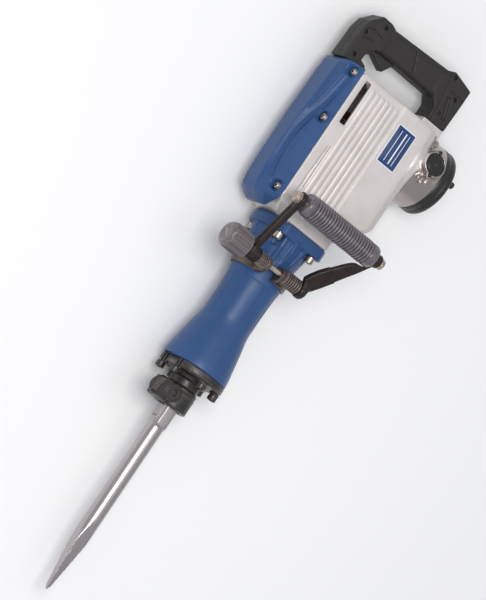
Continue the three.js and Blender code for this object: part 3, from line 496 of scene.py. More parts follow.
def soft(profile, r, steps=4, closed=False):
    """Rounds the corners of a 2-D profile with arcs of about radius r."""
    P = [np.array(p, float) for p in profile]
    out = []
    n = len(P)
    for i, p in enumerate(P):
        if not closed and i in (0, n - 1):
            out.append(tuple(p))
            continue
        a, b = P[i - 1], P[(i + 1) % n]
        la, lb = np.linalg.norm(a - p), np.linalg.norm(b - p)
        if la < 1e-6 or lb < 1e-6:
            continue
        ua, ub = (a - p) / la, (b - p) / lb
        cosang = float(np.clip(ua @ ub, -1, 1))
        if cosang < -0.995:
            out.append(tuple(p))
            continue
        cut = min(r / math.tan(math.acos(cosang) / 2), 0.45 * la, 0.45 * lb)
        s, e = p + ua * cut, p + ub * cut
        for k in range(steps + 1):
            t = k / steps
            q = (1 - t) ** 2 * s + 2 * t * (1 - t) * p + t * t * e
            out.append(tuple(q))
    return out


AX = {"x": (1, 2, 0), "y": (0, 2, 1), "z": (0, 1, 2)}  # (u, v, along)


def lathe(axis, c, profile, n=96, closed=False, radius=None, turn=0.0):
    """Rings of [radius, along] about an axis through c = (u, v). radius(r, t, theta) may shape a ring."""
    u, v, w = AX[axis]
    th = turn + np.arange(n) * 2 * math.pi / n
    rings = []
    for r, t in profile:
        rr = np.full(n, float(r)) if radius is None else radius(float(r), float(t), th)
        p = np.zeros((n, 3))
        p[:, u] = c[0] + rr * np.cos(th)
        p[:, v] = c[1] + rr * np.sin(th)
        p[:, w] = t
        rings.append(p)
    return skin(rings, closed)


def moved(part, m):
    v, t, q = part
    m = np.array(m, float)
    return outward(v @ m[:3, :3].T + m[:3, 3], t, q)


def rot_x(deg, origin=(0, 0, 0)):
    a = math.radians(deg)
    o = np.array(origin, float)
    r = np.array([[1, 0, 0], [0, math.cos(a), -math.sin(a)], [0, math.sin(a), math.cos(a)]])
    m = np.eye(4)
    m[:3, :3] = r
    m[:3, 3] = o
    return m


# ------------------------------------------------------------------ distance fields
def smin(a, b, k):
    if k <= 0:
        return np.minimum(a, b)
    h = np.maximum(k - np.abs(a - b), 0) / k
    return np.minimum(a, b) - h * h * (k * 0.25)


def polysdf(P, U, V):
    P = np.asarray(P, float)
    d = None
    inside = np.zeros(np.broadcast_shapes(U.shape, V.shape), bool)
    for i in range(len(P)):
        a, b = P[i], P[(i + 1) % len(P)]
        e = b - a
        if e @ e < 1e-12:
            continue
        wu, wv = U - a[0], V - a[1]
        t = np.clip((wu * e[0] + wv * e[1]) / (e @ e), 0, 1)
        dd = (wu - e[0] * t) ** 2 + (wv - e[1] * t) ** 2
        d = dd if d is None else np.minimum(d, dd)
        if abs(e[1]) > 1e-12:
            inside ^= ((V >= min(a[1], b[1])) & (V < max(a[1], b[1]))) & (U < a[0] + (V - a[1]) * (e[0] / e[1]))
    return (np.where(inside, -1.0, 1.0) * np.sqrt(d)).astype(np.float32)


def inset(P, r):
    P = np.asarray(P, float)
    area = 0.5 * np.sum(P[:, 0] * np.roll(P[:, 1], -1) - np.roll(P[:, 0], -1) * P[:, 1])
    s = 1 if area > 0 else -1
    out = []
    for i in range(len(P)):
        a, p, b = P[i - 1], P[i], P[(i + 1) % len(P)]
        e0, e1 = (p - a) / np.linalg.norm(p - a), (b - p) / np.linalg.norm(b - p)
        n0, n1 = np.array([-e0[1], e0[0]]) * s, np.array([-e1[1], e1[0]]) * s
        m = n0 + n1
        q = max(m @ m / 2, 0.35)
        out.append(p + m / q * r)
    return np.array(out)


ADAPT = 0.012


class Shape:
    def __init__(self, lo, hi, f):
        self.lo, self.hi, self.f = np.array(lo, float), np.array(hi, float), f


def box(x0, x1, y0, y1, z0, z1, r=0.0):
    c = ((x0 + x1) / 2, (y0 + y1) / 2, (z0 + z1) / 2)
    h = ((x1 - x0) / 2 - r, (y1 - y0) / 2 - r, (z1 - z0) / 2 - r)

    def f(X, Y, Z):
        q = [np.abs(A - c[i]) - h[i] for i, A in enumerate((X, Y, Z))]
        out = np.sqrt(sum(np.maximum(a, 0) ** 2 for a in q))
        return out + np.minimum(np.maximum(q[0], np.maximum(q[1], q[2])), 0) - r

    return Shape((x0, y0, z0), (x1, y1, z1), f)


def corner_join(a, b, r):
    return np.sqrt(np.maximum(a + r, 0) ** 2 + np.maximum(b + r, 0) ** 2) + np.minimum(np.maximum(a + r, b + r), 0) - r


def cyl(axis, u, v, R, a, b, r=0.0, R2=None):
    ui, vi, wi = AX[axis]
    mid, half = (a + b) / 2, (b - a) / 2
    slope = 0.0 if R2 is None else (R2 - R) / (b - a)
    cs = 1 / math.sqrt(1 + slope * slope)

    def f(*A):
        rho = np.sqrt((A[ui] - u) ** 2 + (A[vi] - v) ** 2)
        dr = (rho - (R + slope * (A[wi] - a))) * cs
        return corner_join(dr, np.abs(A[wi] - mid) - half, r)

    M = max(R, R2 or R)
    lo, hi = [0] * 3, [0] * 3
    lo[ui], hi[ui], lo[vi], hi[vi], lo[wi], hi[wi] = u - M, u + M, v - M, v + M, a, b
    return Shape(lo, hi, f)


def prism(axis, pts, a, b, r=0.0, rz=None):
    ui, vi, wi = AX[axis]
    P = inset(pts, r) if r else np.asarray(pts, float)
    mid, half = (a + b) / 2, (b - a) / 2
    rz = r if rz is None else rz

    def f(*A):
        d = polysdf(P, A[ui], A[vi]) - r
        return corner_join(d, np.abs(A[wi] - mid) - half, rz)

    pts = np.asarray(pts, float)
    lo, hi = [0] * 3, [0] * 3
    lo[ui], hi[ui], lo[vi], hi[vi], lo[wi], hi[wi] = *(pts[:, 0].min(), pts[:, 0].max()), *(pts[:, 1].min(), pts[:, 1].max()), a, b
    return Shape(lo, hi, f)


def revolve(axis, u, v, prof, r=0.0):
    """prof: closed outline of (radius, along); one that touches the axis is mirrored across it."""
    ui, vi, wi = AX[axis]
    P = np.asarray(prof, float)
    if P[:, 0].min() < 1e-6:
        keep = P[P[:, 0] > 1e-6]
        P = np.concatenate([keep, keep[::-1] * [-1, 1]])
    if r:
        P = inset(P, r)
    R, t0, t1 = P[:, 0].max() + 12, P[:, 1].min() - 12, P[:, 1].max() + 12
    s = 0.4
    gu, gv = np.arange(0, R + s, s), np.arange(t0, t1 + s, s)
    table = polysdf(P, gu[:, None], gv[None, :]) - r

    def f(*A):
        rho = np.sqrt((A[ui] - u) ** 2 + (A[vi] - v) ** 2) / s
        t = (A[wi] - t0) / s
        i = np.clip(rho.astype(np.int32), 0, len(gu) - 2)
        j = np.clip(t.astype(np.int32), 0, len(gv) - 2)
        fi, fj = np.clip(rho - i, 0, 1).astype(np.float32), np.clip(t - j, 0, 1).astype(np.float32)
        i, j = np.broadcast_arrays(i, j)
        return (table[i, j] * (1 - fi) + table[i + 1, j] * fi) * (1 - fj) + (
            table[i, j + 1] * (1 - fi) + table[i + 1, j + 1] * fi
        ) * fj

    lo, hi = [0] * 3, [0] * 3
    M = P[:, 0].max() + r
    lo[ui], hi[ui], lo[vi], hi[vi], lo[wi], hi[wi] = u - M, u + M, v - M, v + M, P[:, 1].min() - r, P[:, 1].max() + r
    return Shape(lo, hi, f)


def tube(points, radii):
    """A round bar through points, with a radius at each."""
    P = [np.array(p, float) for p in points]

    def f(X, Y, Z):
        d = None
        for i in range(len(P) - 1):
            a, b = P[i], P[i + 1]
            e = b - a
            t = np.clip(((X - a[0]) * e[0] + (Y - a[1]) * e[1] + (Z - a[2]) * e[2]) / (e @ e), 0, 1)
            r = radii[i] + (radii[i + 1] - radii[i]) * t
            dd = np.sqrt((X - a[0] - e[0] * t) ** 2 + (Y - a[1] - e[1] * t) ** 2 + (Z - a[2] - e[2] * t) ** 2) - r
            d = dd if d is None else np.minimum(d, dd)
        return d

    m = max(radii)
    return Shape(np.min(P, 0) - m, np.max(P, 0) + m, f)


def turned(shape, axis, deg, pivot):
    """The shape turned about an axis through pivot, right-handed."""
    a = math.radians(deg)
    ui, vi = {"x": (1, 2), "y": (2, 0), "z": (0, 1)}[axis]
    c, s = math.cos(a), math.sin(a)

    def f(*A):
        A = list(A)
        du, dv = A[ui] - pivot[ui], A[vi] - pivot[vi]
        B = list(A)
        B[ui] = pivot[ui] + c * du + s * dv
        B[vi] = pivot[vi] - s * du + c * dv
        return shape.f(*B)

    corners = []
    for x in (0, 1):
        for y in (0, 1):
            for z in (0, 1):
                p = np.array([(shape.lo, shape.hi)[k][i] for i, k in enumerate((x, y, z))], float)
                du, dv = p[ui] - pivot[ui], p[vi] - pivot[vi]
                p[ui], p[vi] = pivot[ui] + c * du - s * dv, pivot[vi] + s * du + c * dv
                corners.append(p)
    corners = np.array(corners)
    return Shape(corners.min(0), corners.max(0), f)


class Field:
    def __init__(self, lo, hi, h):
        self.h = h
        self.lo = np.array(lo, float) - 3 * h
        self.ax = [np.arange(self.lo[i], hi[i] + 3 * h, h, dtype=np.float32) for i in range(3)]
        self.d = np.full([len(a) for a in self.ax], 40.0, np.float32)

    def _window(self, s, m):
        out, grids = [], []
        for i in range(3):
            a = int(max(0, math.floor((s.lo[i] - m - self.lo[i]) / self.h)))
            b = int(min(len(self.ax[i]), math.ceil((s.hi[i] + m - self.lo[i]) / self.h) + 1))
            if b <= a:
                return None, None
            out.append(slice(a, b))
            shape = [1, 1, 1]
            shape[i] = b - a
            grids.append(self.ax[i][a:b].reshape(shape))
        return tuple(out), grids

    def add(self, s, k=0.0, m=None):
        w, g = self._window(s, (4 * self.h + k) if m is None else m)
        if w:
            self.d[w] = smin(self.d[w], s.f(*g).astype(np.float32), k)
        return self

    def cut(self, s, k=0.0):
        w, g = self._window(s, 4 * self.h + k)
        if w:
            self.d[w] = -smin(-self.d[w], s.f(*g).astype(np.float32), k)
        return self

    def only(self, s, k=0.0):
        g = [self.ax[i].reshape([-1 if i == j else 1 for j in range(3)]) for i in range(3)]
        self.d = -smin(-self.d, -s.f(*g).astype(np.float32), k)
        return self

    def mesh(self, adapt=0.0):
        d = np.clip(self.d, -4 * self.h, 4 * self.h)
        d[0], d[-1], d[:, 0], d[:, -1], d[:, :, 0], d[:, :, -1] = (4 * self.h,) * 6
        adapt = adapt or ADAPT
        g = vdb.FloatGrid(4.0 * self.h)
        g.copyFromArray(d)
        p, t, q = g.convertToPolygons(0.0, adapt)
        return np.asarray(p, float) * self.h + self.lo, np.asarray(t, np.int64), np.asarray(q, np.int64)


def piece(name, part, mat, *nodes, angle=None, body=None, slot=None):
    v, t, q = part
    o = mesh_object(name, v, t, q, mat, angle)
    return stands_for(o, *nodes, body=body, slot=slot)


# ------------------------------------------------------------------ main sizes, mm
GAP = 0.3
MOTOR_Z, MID_Z, CRANK_Z, CRANK_R, ROD_L = 513.0, 472.5, 418.5, 14.0, 108.5
HUB = (0.0, -60.0, 251.0)
LOOP_TILT, LOOP_L = 23.0, 107.3
CASE_BOLTS = [(36, 42), (36, -42), (-32, 42), (-32, -42)]
COVER_Z = [354.6, 479.0, 560.5]
BRUSH_X, BRUSH_TILT = 113.0, 14.0
BOLT_ANGLES = [math.radians(a) for a in (30, 90, 150, 210, 270, 330)]


# ------------------------------------------------------------------ chisel
def build_chisel():
    f = Field((-17.6, -17.6, -324), (17.6, 17.6, 86), 0.75)
    sides = [(17.3 * math.cos(math.radians(60 * i)), 17.3 * math.sin(math.radians(60 * i))) for i in range(6)]
    hexa = prism("z", sides, -33, 86, 1.0)
    cone = revolve("z", 0, 0, [(0, -34), (14.4, -34), (17.8, -30), (17.8, 83), (14.5, 87), (0, 87)])
    zs = np.array([-324, -318, -242, -200, -28, 0])
    hs = np.array([0.9, 3.0, 9.6, 13.6, 15, 15])

    def shaft(X, Y, Z):
        h = np.interp(Z, zs, hs)
        square = np.maximum(np.abs(X), np.abs(Y)) - h
        square = square * 0.985
        rod = np.sqrt(X * X + Y * Y) - 13.5
        d = -smin(-square, -rod, 0.8)
        return np.maximum(d, np.maximum(-324.0 - Z, Z + 26.0))

    g = Field((-17.6, -17.6, -324), (17.6, 17.6, 86), 0.75)
    g.add(hexa)
    g.only(cone, 1.5)
    f.d = g.d
    f.add(Shape((-14, -14, -324), (14, 14, -26), shaft), 3.0)
    f.cut(box(-30, -12, -20, 20, -22, 24.6, 3.0), 0.8)
    return piece("chisel_bar", f.mesh(), "chisel_steel", "chisel")


build_chisel()


# ------------------------------------------------------------------ tool holder
def build_front_cover():
    f = Field((-38, -54.5, 0), (54.5, 54.5, 90), 0.8)
    f.add(revolve("z", 0, 0, [(0, 0), (25.6, 0), (27.5, 1.8), (27.5, 33), (24.5, 36), (24.5, 47), (31, 48.5), (33.5, 57), (0, 57)], 0.6))
    f.add(prism("z", [(6, -23), (6, 23), (-31, 23), (-38, 16), (-38, -16), (-31, -23)], 1.5, 33, 2.6), 3.0)
    f.add(cyl("z", 0, 0, 54.5, 55, 67, 1.6), 4.0)
    for i, a in enumerate(BOLT_ANGLES):
        c, s = math.cos(a), math.sin(a)
        f.add(cyl("z", 45.8 * c, 45.8 * s, 8.4, 52, 58, 0.9), 1.2)
    # a shallow step is cut all round the lower outer edge of the rim
    f.cut(revolve("z", 0, 0, [(52.6, 54), (56, 54), (56, 57.2), (52.6, 57.2)], 0.4), 0.8)
    f.add(cyl("z", 0, 0, 33.8, 66, 90, 1.0))
    f.only(cyl("z", 0, 0, 54.4, -2, 92))
    f.cut(cyl("z", 0, 0, 17.8, -4, 94), 1.2)
    f.cut(cyl("y", -24, 17.4, 9.9, -40, 40), 0.8)
    for a in BOLT_ANGLES:
        f.cut(cyl("z", 46 * math.cos(a), 46 * math.sin(a), 4.3, 40, 72))
    # groove under the nose collar
    f.cut(revolve("z", 0, 0, [(26.6, 27), (29.5, 27), (29.5, 29.4), (26.6, 29.4)], 0.4), 0.8)
    return piece("tool_holder", f.mesh(), "black_casting", "front_cover")


build_front_cover()


def build_retainer():
    x0, z0 = -24.0, 17.4
    f = Field((-66, -38, -3), (-9, 26, 33), 0.55)
    f.add(cyl("y", x0, z0, 9.5, -27, 26, 0.8))
    f.cut(box(x0 - 12, x0 - 5.4, -16, 16, z0 - 12, z0 + 12, 0.4), 0.5)
    tab = [(4, 13), (-18, 13.5), (-30, 12.5), (-37, 8), (-41, 0), (-41.5, -8), (-38, -15), (-32, -19), (-18, -16), (-6, -13)]
    f.add(prism("y", [(x0 + a, z0 + b) for a, b in tab], -34, -28.2, 1.8), 1.0)
    f.add(cyl("y", x0, z0, 14, -36, -26.8, 1.6), 2.0)
    pad = [(-24, 12), (-36, 8), (-41, -6), (-37, -15), (-28, -15)]
    f.add(prism("y", [(x0 + a, z0 + b) for a, b in pad], -37.8, -28.4, 1.8), 2.0)
    f.cut(cyl("y", x0, z0, 5.2, -40, -33.5, 0.6), 0.8)
    f.add(cyl("y", x0, z0, 3.2, -34.4, -30, 0.6), 0.4)
    for k in range(4):
        f.cut(box(-61.5 + 3.2 * k, -60.2 + 3.2 * k, -39, -37.0, -3, 28, 0.3), 0.3)
    return piece("retainer_catch", f.mesh(), "black_casting", "retainer_lever")


build_retainer()


def hex_radius(flat, th, turn=0.0):
    a = (th + turn) % (math.pi / 3) - math.pi / 6
    return flat / np.cos(a)


def cap_screw(axis, c, base, head_r, head_h, shank_r, length, sign=-1, socket=None, n=48):
    """A hexagon-socket cap screw whose head goes to base + sign*head_h."""
    s = socket or head_r * 0.56
    top = base + sign * head_h
    tip = base - sign * length
    deep = top - sign * head_h * 0.6
    prof = [
        (0.05, deep - sign * 0.8), (s * 0.8, deep), (s, deep + sign * 0.2), (s, top - sign * 0.35), (s + 0.35, top),
        (head_r - 0.9, top), (head_r - 0.25, top - sign * 0.35), (head_r, top - sign * 1.0),
        (head_r, base + sign * 0.5), (head_r - 0.5, base), (shank_r + 0.3, base), (shank_r, base - sign * 0.3),
        (shank_r, tip + sign * 0.9), (shank_r - 0.9, tip), (0.05, tip),
    ]
    kinds = ["hex"] * 4 + ["hex"] + ["round"] * 10

    def radius(r, t, th, state={"i": 0}):
        k = kinds[state["i"] % len(kinds)]
        state["i"] += 1
        if k == "hex" and r > 1:
            return hex_radius(r * 0.93, th)
        if r > head_r - 0.05 and n >= 40:
            return r + 0.12 * np.sign(np.sin(th * n / 2.0 + 0.4)) * 0.5
        return np.full(len(th), r)

    return lathe(axis, c, prof, n, radius=lambda r, t, th: radius(r, t, th))


for i, a in enumerate(BOLT_ANGLES):
    piece(f"holder_screw_{i + 1}", cap_screw("z", (46 * math.cos(a), 46 * math.sin(a)), 51.7, 7, 9, 3.9, 28, -1, 3.9), "black_steel", f"front_cover_bolt_{i + 1}", angle=32)


# ------------------------------------------------------------------ cylinder case
def build_cylinder_case():
    f = Field((-58.4, -54.4, 67.3), (51, 54.4, 322), 0.85)
    prof = [(0, 67.3), (52.6, 67.3), (54, 68.6), (53.7, 76), (52.4, 85), (50.5, 95), (46, 123), (41.7, 144), (39.9, 157), (39.6, 170), (39.6, 188),
            (40.9, 224.6), (42.6, 226.0), (43, 229), (43, 268), (45, 276), (50, 304), (0, 304)]
    f.add(revolve("z", 0, 0, prof))
    arc = [(58 * math.cos(math.radians(a)), 58 * math.sin(math.radians(a))) for a in np.linspace(118.4, 241.6, 22)]
    flange = [(51, 44), (44, 51), *arc, (44, -51), (51, -44)]
    f.add(prism("z", flange, 303, 322, 1.6), 4.0)
    for a in (0, 180, 90, -90, 68, 112, -68, -112):
        rib = prism("y", [(36, 262), (43.4, 266), (50.6, 287), (51.5, 305), (36, 305)], -2.6, 2.6, 1.0)
        f.add(turned(rib, "z", a, (0, 0, 0)), 3.2)
    # long raised strips left by the casting die
    w, g = f._window(Shape((-45, -45, 140), (45, 45, 228), None), 0)
    X, Y, Z = g
    ang = np.degrees(np.arctan2(Y, X))
    along = np.clip((Z - 150) / 14, 0, 1) * np.clip((226 - Z) / 3, 0, 1)
    for mid, half in ((-112, 20), (112, 20), (-22, 14), (22, 14), (180, 16)):
        da = np.abs((ang - mid + 180) % 360 - 180)
        f.d[w] -= (0.9 * np.clip((half - da) / 2.2 + 0.5, 0, 1) * along).astype(np.float32)
    for x, y in CASE_BOLTS:
        f.cut(cyl("z", x, y, 9.6, 284, 302.8, 1.5), 1.6)
        f.cut(cyl("z", x, y, 4.3, 290, 330))
    f.cut(cyl("z", 0, 0, 34.8, 60, 330))
    for a in BOLT_ANGLES:
        f.cut(cyl("z", 46 * math.cos(a), 46 * math.sin(a), 4.3, 60, 84))
    return piece("cylinder_casting", f.mesh(), "blue_paint", "cylinder_case")


build_cylinder_case()
for i, (x, y) in enumerate([(36, 42), (36, -42), (-32, 42), (-32, -42)]):
    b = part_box(f"cylinder_case_bolt_{i + 1}")
    cy = OFFSET[2] - 500 * (b[0][2] + b[1][2])
    cx = OFFSET[1] + 500 * (b[0][1] + b[1][1])
    piece(f"case_screw_{i + 1}", cap_screw("z", (round(cx, 1), round(cy, 1)), 302.7, 7, 10, 3.9, 36, -1, 4.0), "zinc_steel", f"cylinder_case_bolt_{i + 1}", angle=32)


# ------------------------------------------------------------------ motor housing
def build_housing():
    f = Field((-70.5, -65, 322.3), (138, 54.5, 583.8), 0.95)
    block = [(-70.5, 347), (-62, 335), (-52, 326), (-45, 322.3), (46, 322.3), (46, 336), (94, 392), (94, 570), (-66, 570), (-70.5, 566)]
    f.add(prism("y", block, -52.8, 52.8, 2.6))
    for s in (-1, 1):
        f.cut(prism("x", [(s * 60, 352), (s * 53, 350), (s * 50, 340), (s * 40, 330), (s * 28, 322), (s * 28, 300), (s * 66, 300)], -100, -45, 1.0), 5.0)
        f.cut(prism("z", [(83.2, s * 60), (84.2, s * 53.2), (92.4, s * 49.4), (94.6, s * 46), (106, s * 46), (106, s * 60)], 300, 600), 0.8)
    # tail of the motor, seat of the handle and the brush bosses
    f.add(cyl("x", 0, MOTOR_Z, 55.5, 84, 138, 0.8), 8.0)
    f.add(box(71.6, 114, -25, 25, 545, 583.6, 3.0), 10.0)
    f.add(turned(cyl("y", BRUSH_X, MOTOR_Z, 20.3, -65, 65, 1.6), "x", -BRUSH_TILT, (0, 0, MOTOR_Z)), 4.5)
    # clamping lugs on the boss, and casting lumps round its foot
    for dz in (20.2, -20.2):
        f.add(turned(cyl("y", BRUSH_X - 1.5, MOTOR_Z + dz, 4.2, -63.6, -44, 1.0), "x", -BRUSH_TILT, (0, 0, MOTOR_Z)), 3.0)
    for lx, ly, lz, lr in ((99.5, -50.5, 26, 4.4), (98.5, -49, 12, 3.6), (97.6, -51, -3, 4.4), (98.5, -50, -16, 3.8), (104, -49.5, -25, 4.2), (112, -48, -29, 3.6), (121, -48.5, -24, 3.4), (97, -52.8, 38, 3.6), (106, -51.5, 33, 3.4)):
        f.add(turned(tube([(lx, ly, MOTOR_Z + lz - 2), (lx, ly, MOTOR_Z + lz + 2)], [lr, lr]), "x", -BRUSH_TILT, (0, 0, MOTOR_Z)), 3.5)
    # flat fillet strip where the tail leaves the block
    f.add(box(86, 98.5, -46.5, 46.5, 462, 560, 2.0), 5.0)
    # long ribs down both flat sides
    for sx in (-38, -28, -18, -8, 2, 12):
        for s in (-1, 1):
            y0, y1 = (-53.6, -50) if s < 0 else (50, 53.6)
            f.add(box(sx - 2.8, sx + 2.8, y0, y1, 340, 556, 1.2), 2.0)
    for s in (-1, 1):
        y0, y1 = (-54.5, -50) if s < 0 else (50, 54.4)
        f.add(prism("y", [(20, 345), (50, 345), (83.6, 388), (83.6, 569.4), (20, 569.4)], y0, y1, 1.3), 0.9)
    f.cut(box(-90, 190, 54.45, 90, 300, 600))
    # inside
    f.cut(prism("y", [(-76, 352), (-58, 338), (-46, 330), (42, 330), (42, 341), (88, 396), (88, 565), (-76, 565)], -48.6, 48.6, 1.0), 0.8)
    f.cut(cyl("x", 0, MOTOR_Z, 48, 20, 142), 0.5)
    f.add(box(-52, -44, -49.6, 49.6, 380, 484, 0.5))
    f.add(box(8, 16, -49.6, 49.6, 455, 566, 0.5))
    front = prism("y", [(-70.5, 347), (-62, 335), (-52, 326), (-45, 322.3), (-38, 322.3), (-38, 362), (-70.5, 362)], -60, 60, 1.0)
    for s in (-1, 1):
        skirt = prism("x", [(s * 53.2, 356), (s * 52.6, 350), (s * 49.6, 340), (s * 39.8, 330), (s * 28, 322.2), (s * 24, 326), (s * 35, 335), (s * 44.6, 344), (s * 47.6, 356)], -71, -40)
        both = Shape(np.maximum(skirt.lo, front.lo), np.minimum(skirt.hi, front.hi), lambda X, Y, Z, a=skirt, b=front: np.maximum(a.f(X, Y, Z), b.f(X, Y, Z)))
        f.add(both, 1.0)
    for x, y in CASE_BOLTS:
        f.add(cyl("z", x, y, 8, 322.3, 345, 0.5), 1.5)
    for y in (-45.5, 45.5):
        for z in COVER_Z:
            f.add(cyl("x", y, z, 6.3, -70.5, -46, 0.3), 1.5)
    f.cut(box(-100, -70.5, -70, 70, 300, 600))
    for y in (-45.5, 45.5):
        for z in COVER_Z:
            f.cut(cyl("x", y, z, 3.3, -74, -48))
    for x, y in CASE_BOLTS:
        f.cut(cyl("z", x, y, 4.3, 310, 341))
    f.cut(cyl("z", 0, 0, 34.6, 318, 334))
    # cooling slot, with a step round its mouth
    f.cut(box(-58.5, -48, -60, -40, 487, 561, 1.6), 0.6)
    f.cut(box(-59.6, -46.9, -56, -52.0, 486, 562, 1.8), 0.5)
    f.cut(cyl("x", 0, CRANK_Z, 17.4, -60, -40))
    f.cut(cyl("x", 0, MID_Z, 9.4, -60, -40))
    f.cut(cyl("x", 0, MOTOR_Z, 14.5, 4, 20))
    for y0, y1 in ((-76, -38), (38, 76)):
        f.cut(turned(cyl("y", BRUSH_X, MOTOR_Z, 17.3 if y0 < 0 else 15.2, y0, y1), "x", -BRUSH_TILT, (0, 0, MOTOR_Z)), 0.8)
    # two fine grooves along the joint side
    for (xa, za), (xb, zb) in (((-53.7, 362), (-51.5, 447)), ((-47.6, 376), (-47.6, 449))):
        nx, nz = zb - za, xa - xb
        L = math.hypot(nx, nz)
        nx, nz = nx / L * 0.75, nz / L * 0.75
        f.cut(prism("y", [(xa - nx, za - nz), (xb - nx, zb - nz), (xb + nx, zb + nz), (xa + nx, za + nz)], -60, -51.4), 0.4)
    v, t, q = f.mesh()
    o = mesh_object("motor_housing_casting", v, t, q, housing_material())
    stands_for(o, "motor_housing")


build_housing()


# ------------------------------------------------------------------ gear cover
def build_gear_cover():
    sections = np.array([
        [323.2, 28.5, -70.8, -76, 25, -78.5, 20, -80, 13],
        [329.5, 36.5, -70.8, -82.5, 32, -86, 24, -88, 15],
        [337, 46, -70.8, -88, 37.5, -94.5, 27, -98.3, 17.5],
        [345, 53.5, -70.8, -90, 39.5, -97, 24.5, -100.8, 18.5],
        [352, 54.4, -70.8, -90.6, 40, -98, 24, -102.2, 19],
        [400, 54.4, -70.8, -93, 39, -100, 22, -104.6, 19],
        [450, 54.4, -70.8, -93, 39, -100, 22.5, -105, 19.5],
        [500, 54.4, -70.8, -93, 39, -98.6, 24, -102.8, 21],
        [545, 54.4, -70.8, -92.5, 40, -96, 29, -100.9, 21],
        [564, 54.4, -70.8, -92, 41, -94.6, 33, -99.6, 21],
        [573.8, 53.4, -70.8, -89, 42, -91.5, 35, -94, 21],
    ])
    f = Field((-105, -54.4, 323.2), (-70.8, 54.4, 573.8), 0.8)
    zs = f.ax[2]
    X, Y = f.ax[0][:, None], f.ax[1][None, :]
    knots = np.stack([np.interp(zs, sections[:, 0], sections[:, k]) for k in range(1, 9)], 1)
    ker = np.hanning(5)  # softens the change from section to section
    ker /= ker.sum()
    pad = np.concatenate([np.repeat(knots[:1], 2, 0), knots, np.repeat(knots[-1:], 2, 0)])
    knots = np.stack([np.convolve(pad[:, k], ker, "valid") for k in range(8)], 1)
    body = np.zeros_like(f.d)
    for i, (y0, x0, x1, y1, x2, y2, x3, y3) in enumerate(knots):
        half = [(-56, y0), (x0, y0), (x1, y1), (x2, y2), (x3, y3)]
        P = inset(half + [(x, -y) for x, y in half[::-1]], 1.9)
        body[:, :, i] = polysdf(P, X, Y) - 1.9
    mid, hz = (323.2 + 573.8) / 2, (573.8 - 323.2) / 2
    Z = zs[None, None, :]
    body = corner_join(body, np.abs(Z - mid) - hz, 2.0).astype(np.float32)
    f.d = body
    outer = body.copy()
    # the swept hollow that sets the raised middle apart from the screw flanges
    sweep = [(-87.5, -44.0, 569), (-89.3, -42.4, 562.9), (-91.7, -40.5, 549.8), (-93.1, -38.4, 535.9), (-94.3, -35.2, 516.7), (-95.5, -32.1, 497.6), (-97.2, -27.8, 485.9),
             (-99.0, -23.8, 474.1), (-100.9, -21.8, 460.6), (-103.1, -20.4, 447.0), (-104.2, -19.6, 432.1), (-104.4, -19.4, 418.0), (-103.9, -19.6, 406.3), (-102.8, -20.2, 395.4),
             (-101.3, -21.5, 385.1), (-99.2, -24.0, 375.4), (-97.0, -27.8, 365.5)]
    radii = [6.4, 6.6, 6.8, 6.9, 7.0, 7.0, 7.0, 7.0, 7.0, 6.8, 6.6, 6.4, 6.2, 6.0, 5.6, 4.9, 4.0]
    near, far = [], []
    for (x, y, z), r in zip(sweep, radii):
        k = min(1, max(0, (z - 470) / 60))
        nx, ny = -0.86 + 0.24 * k, -0.5 - 0.28 * k
        R = r * 1.35
        lift, side = R - 5.0 * r / 7, (R * R - (R - 5.0 * r / 7) ** 2) ** 0.5 - 0.5
        near.append((x + nx * lift - ny * side, y + ny * lift + nx * side, z))
        far.append((x + nx * 3.2 + 1.5, -(y + ny * 3.2) + 4.0, z))
    f.cut(tube(near, [r * 1.35 for r in radii]), 2.6)
    f.cut(tube(far[5:], radii[5:]), 2.2)
    # small notch on the joint line
    f.cut(box(-74, -69, -58, -51.5, 427.6, 433.2, 0.6), 0.5)
    inner = np.maximum(
        prism("y", [(-65, 353), (-74, 347), (-82, 345), (-86, 354), (-89, 372), (-90, 440), (-90, 520), (-88, 552), (-84, 560), (-65, 562)], -60, 60, 1.0).f(*[f.ax[i].reshape([-1 if i == j else 1 for j in range(3)]) for i in range(3)]),
        prism("z", [(-50, 50.4), (-71.5, 50.4), (-83, 35), (-87, 20), (-90, 14), (-90, -14), (-87, -20), (-83, -33), (-71.5, -50.4), (-50, -50.4)], 300, 600, 1.0).f(*[f.ax[i].reshape([-1 if i == j else 1 for j in range(3)]) for i in range(3)]),
    ).astype(np.float32)
    f.d = np.maximum(f.d, -inner)
    f.cut(cyl("x", 0, MID_Z, 34.2, -86.5, -60))  # room for the layshaft's wheel
    for y in (-45.5, 45.5):
        for z in COVER_Z:
            post = cyl("x", y, z, 10.6, -84, -70.8)
            w, g = f._window(post, 4)
            f.d[w] = smin(f.d[w], np.maximum(post.f(*g), outer[w]).astype(np.float32), 1.0)
            f.cut(cyl("x", y, z, 8.9, -120, -79.2, 1.6), 3.6)
            f.cut(cyl("x", y, z, 3.3, -90, -60))
    f.cut(box(-70.8, -50, -70, 70, 300, 600))
    return piece("gear_cover_casting", f.mesh(), "blue_paint", "gear_cover")


build_gear_cover()
for j, s in enumerate((-1, 1)):
    for i, z in enumerate(COVER_Z):
        piece(f"cover_screw_{j * 3 + i + 1}", cap_screw("x", (s * 45.5, z), -77.8, 5.2, 6.4, 3.0, 26, -1, 2.9, n=40), "zinc_steel", f"gear_cover_bolt_{j * 3 + i + 1}", angle=32)


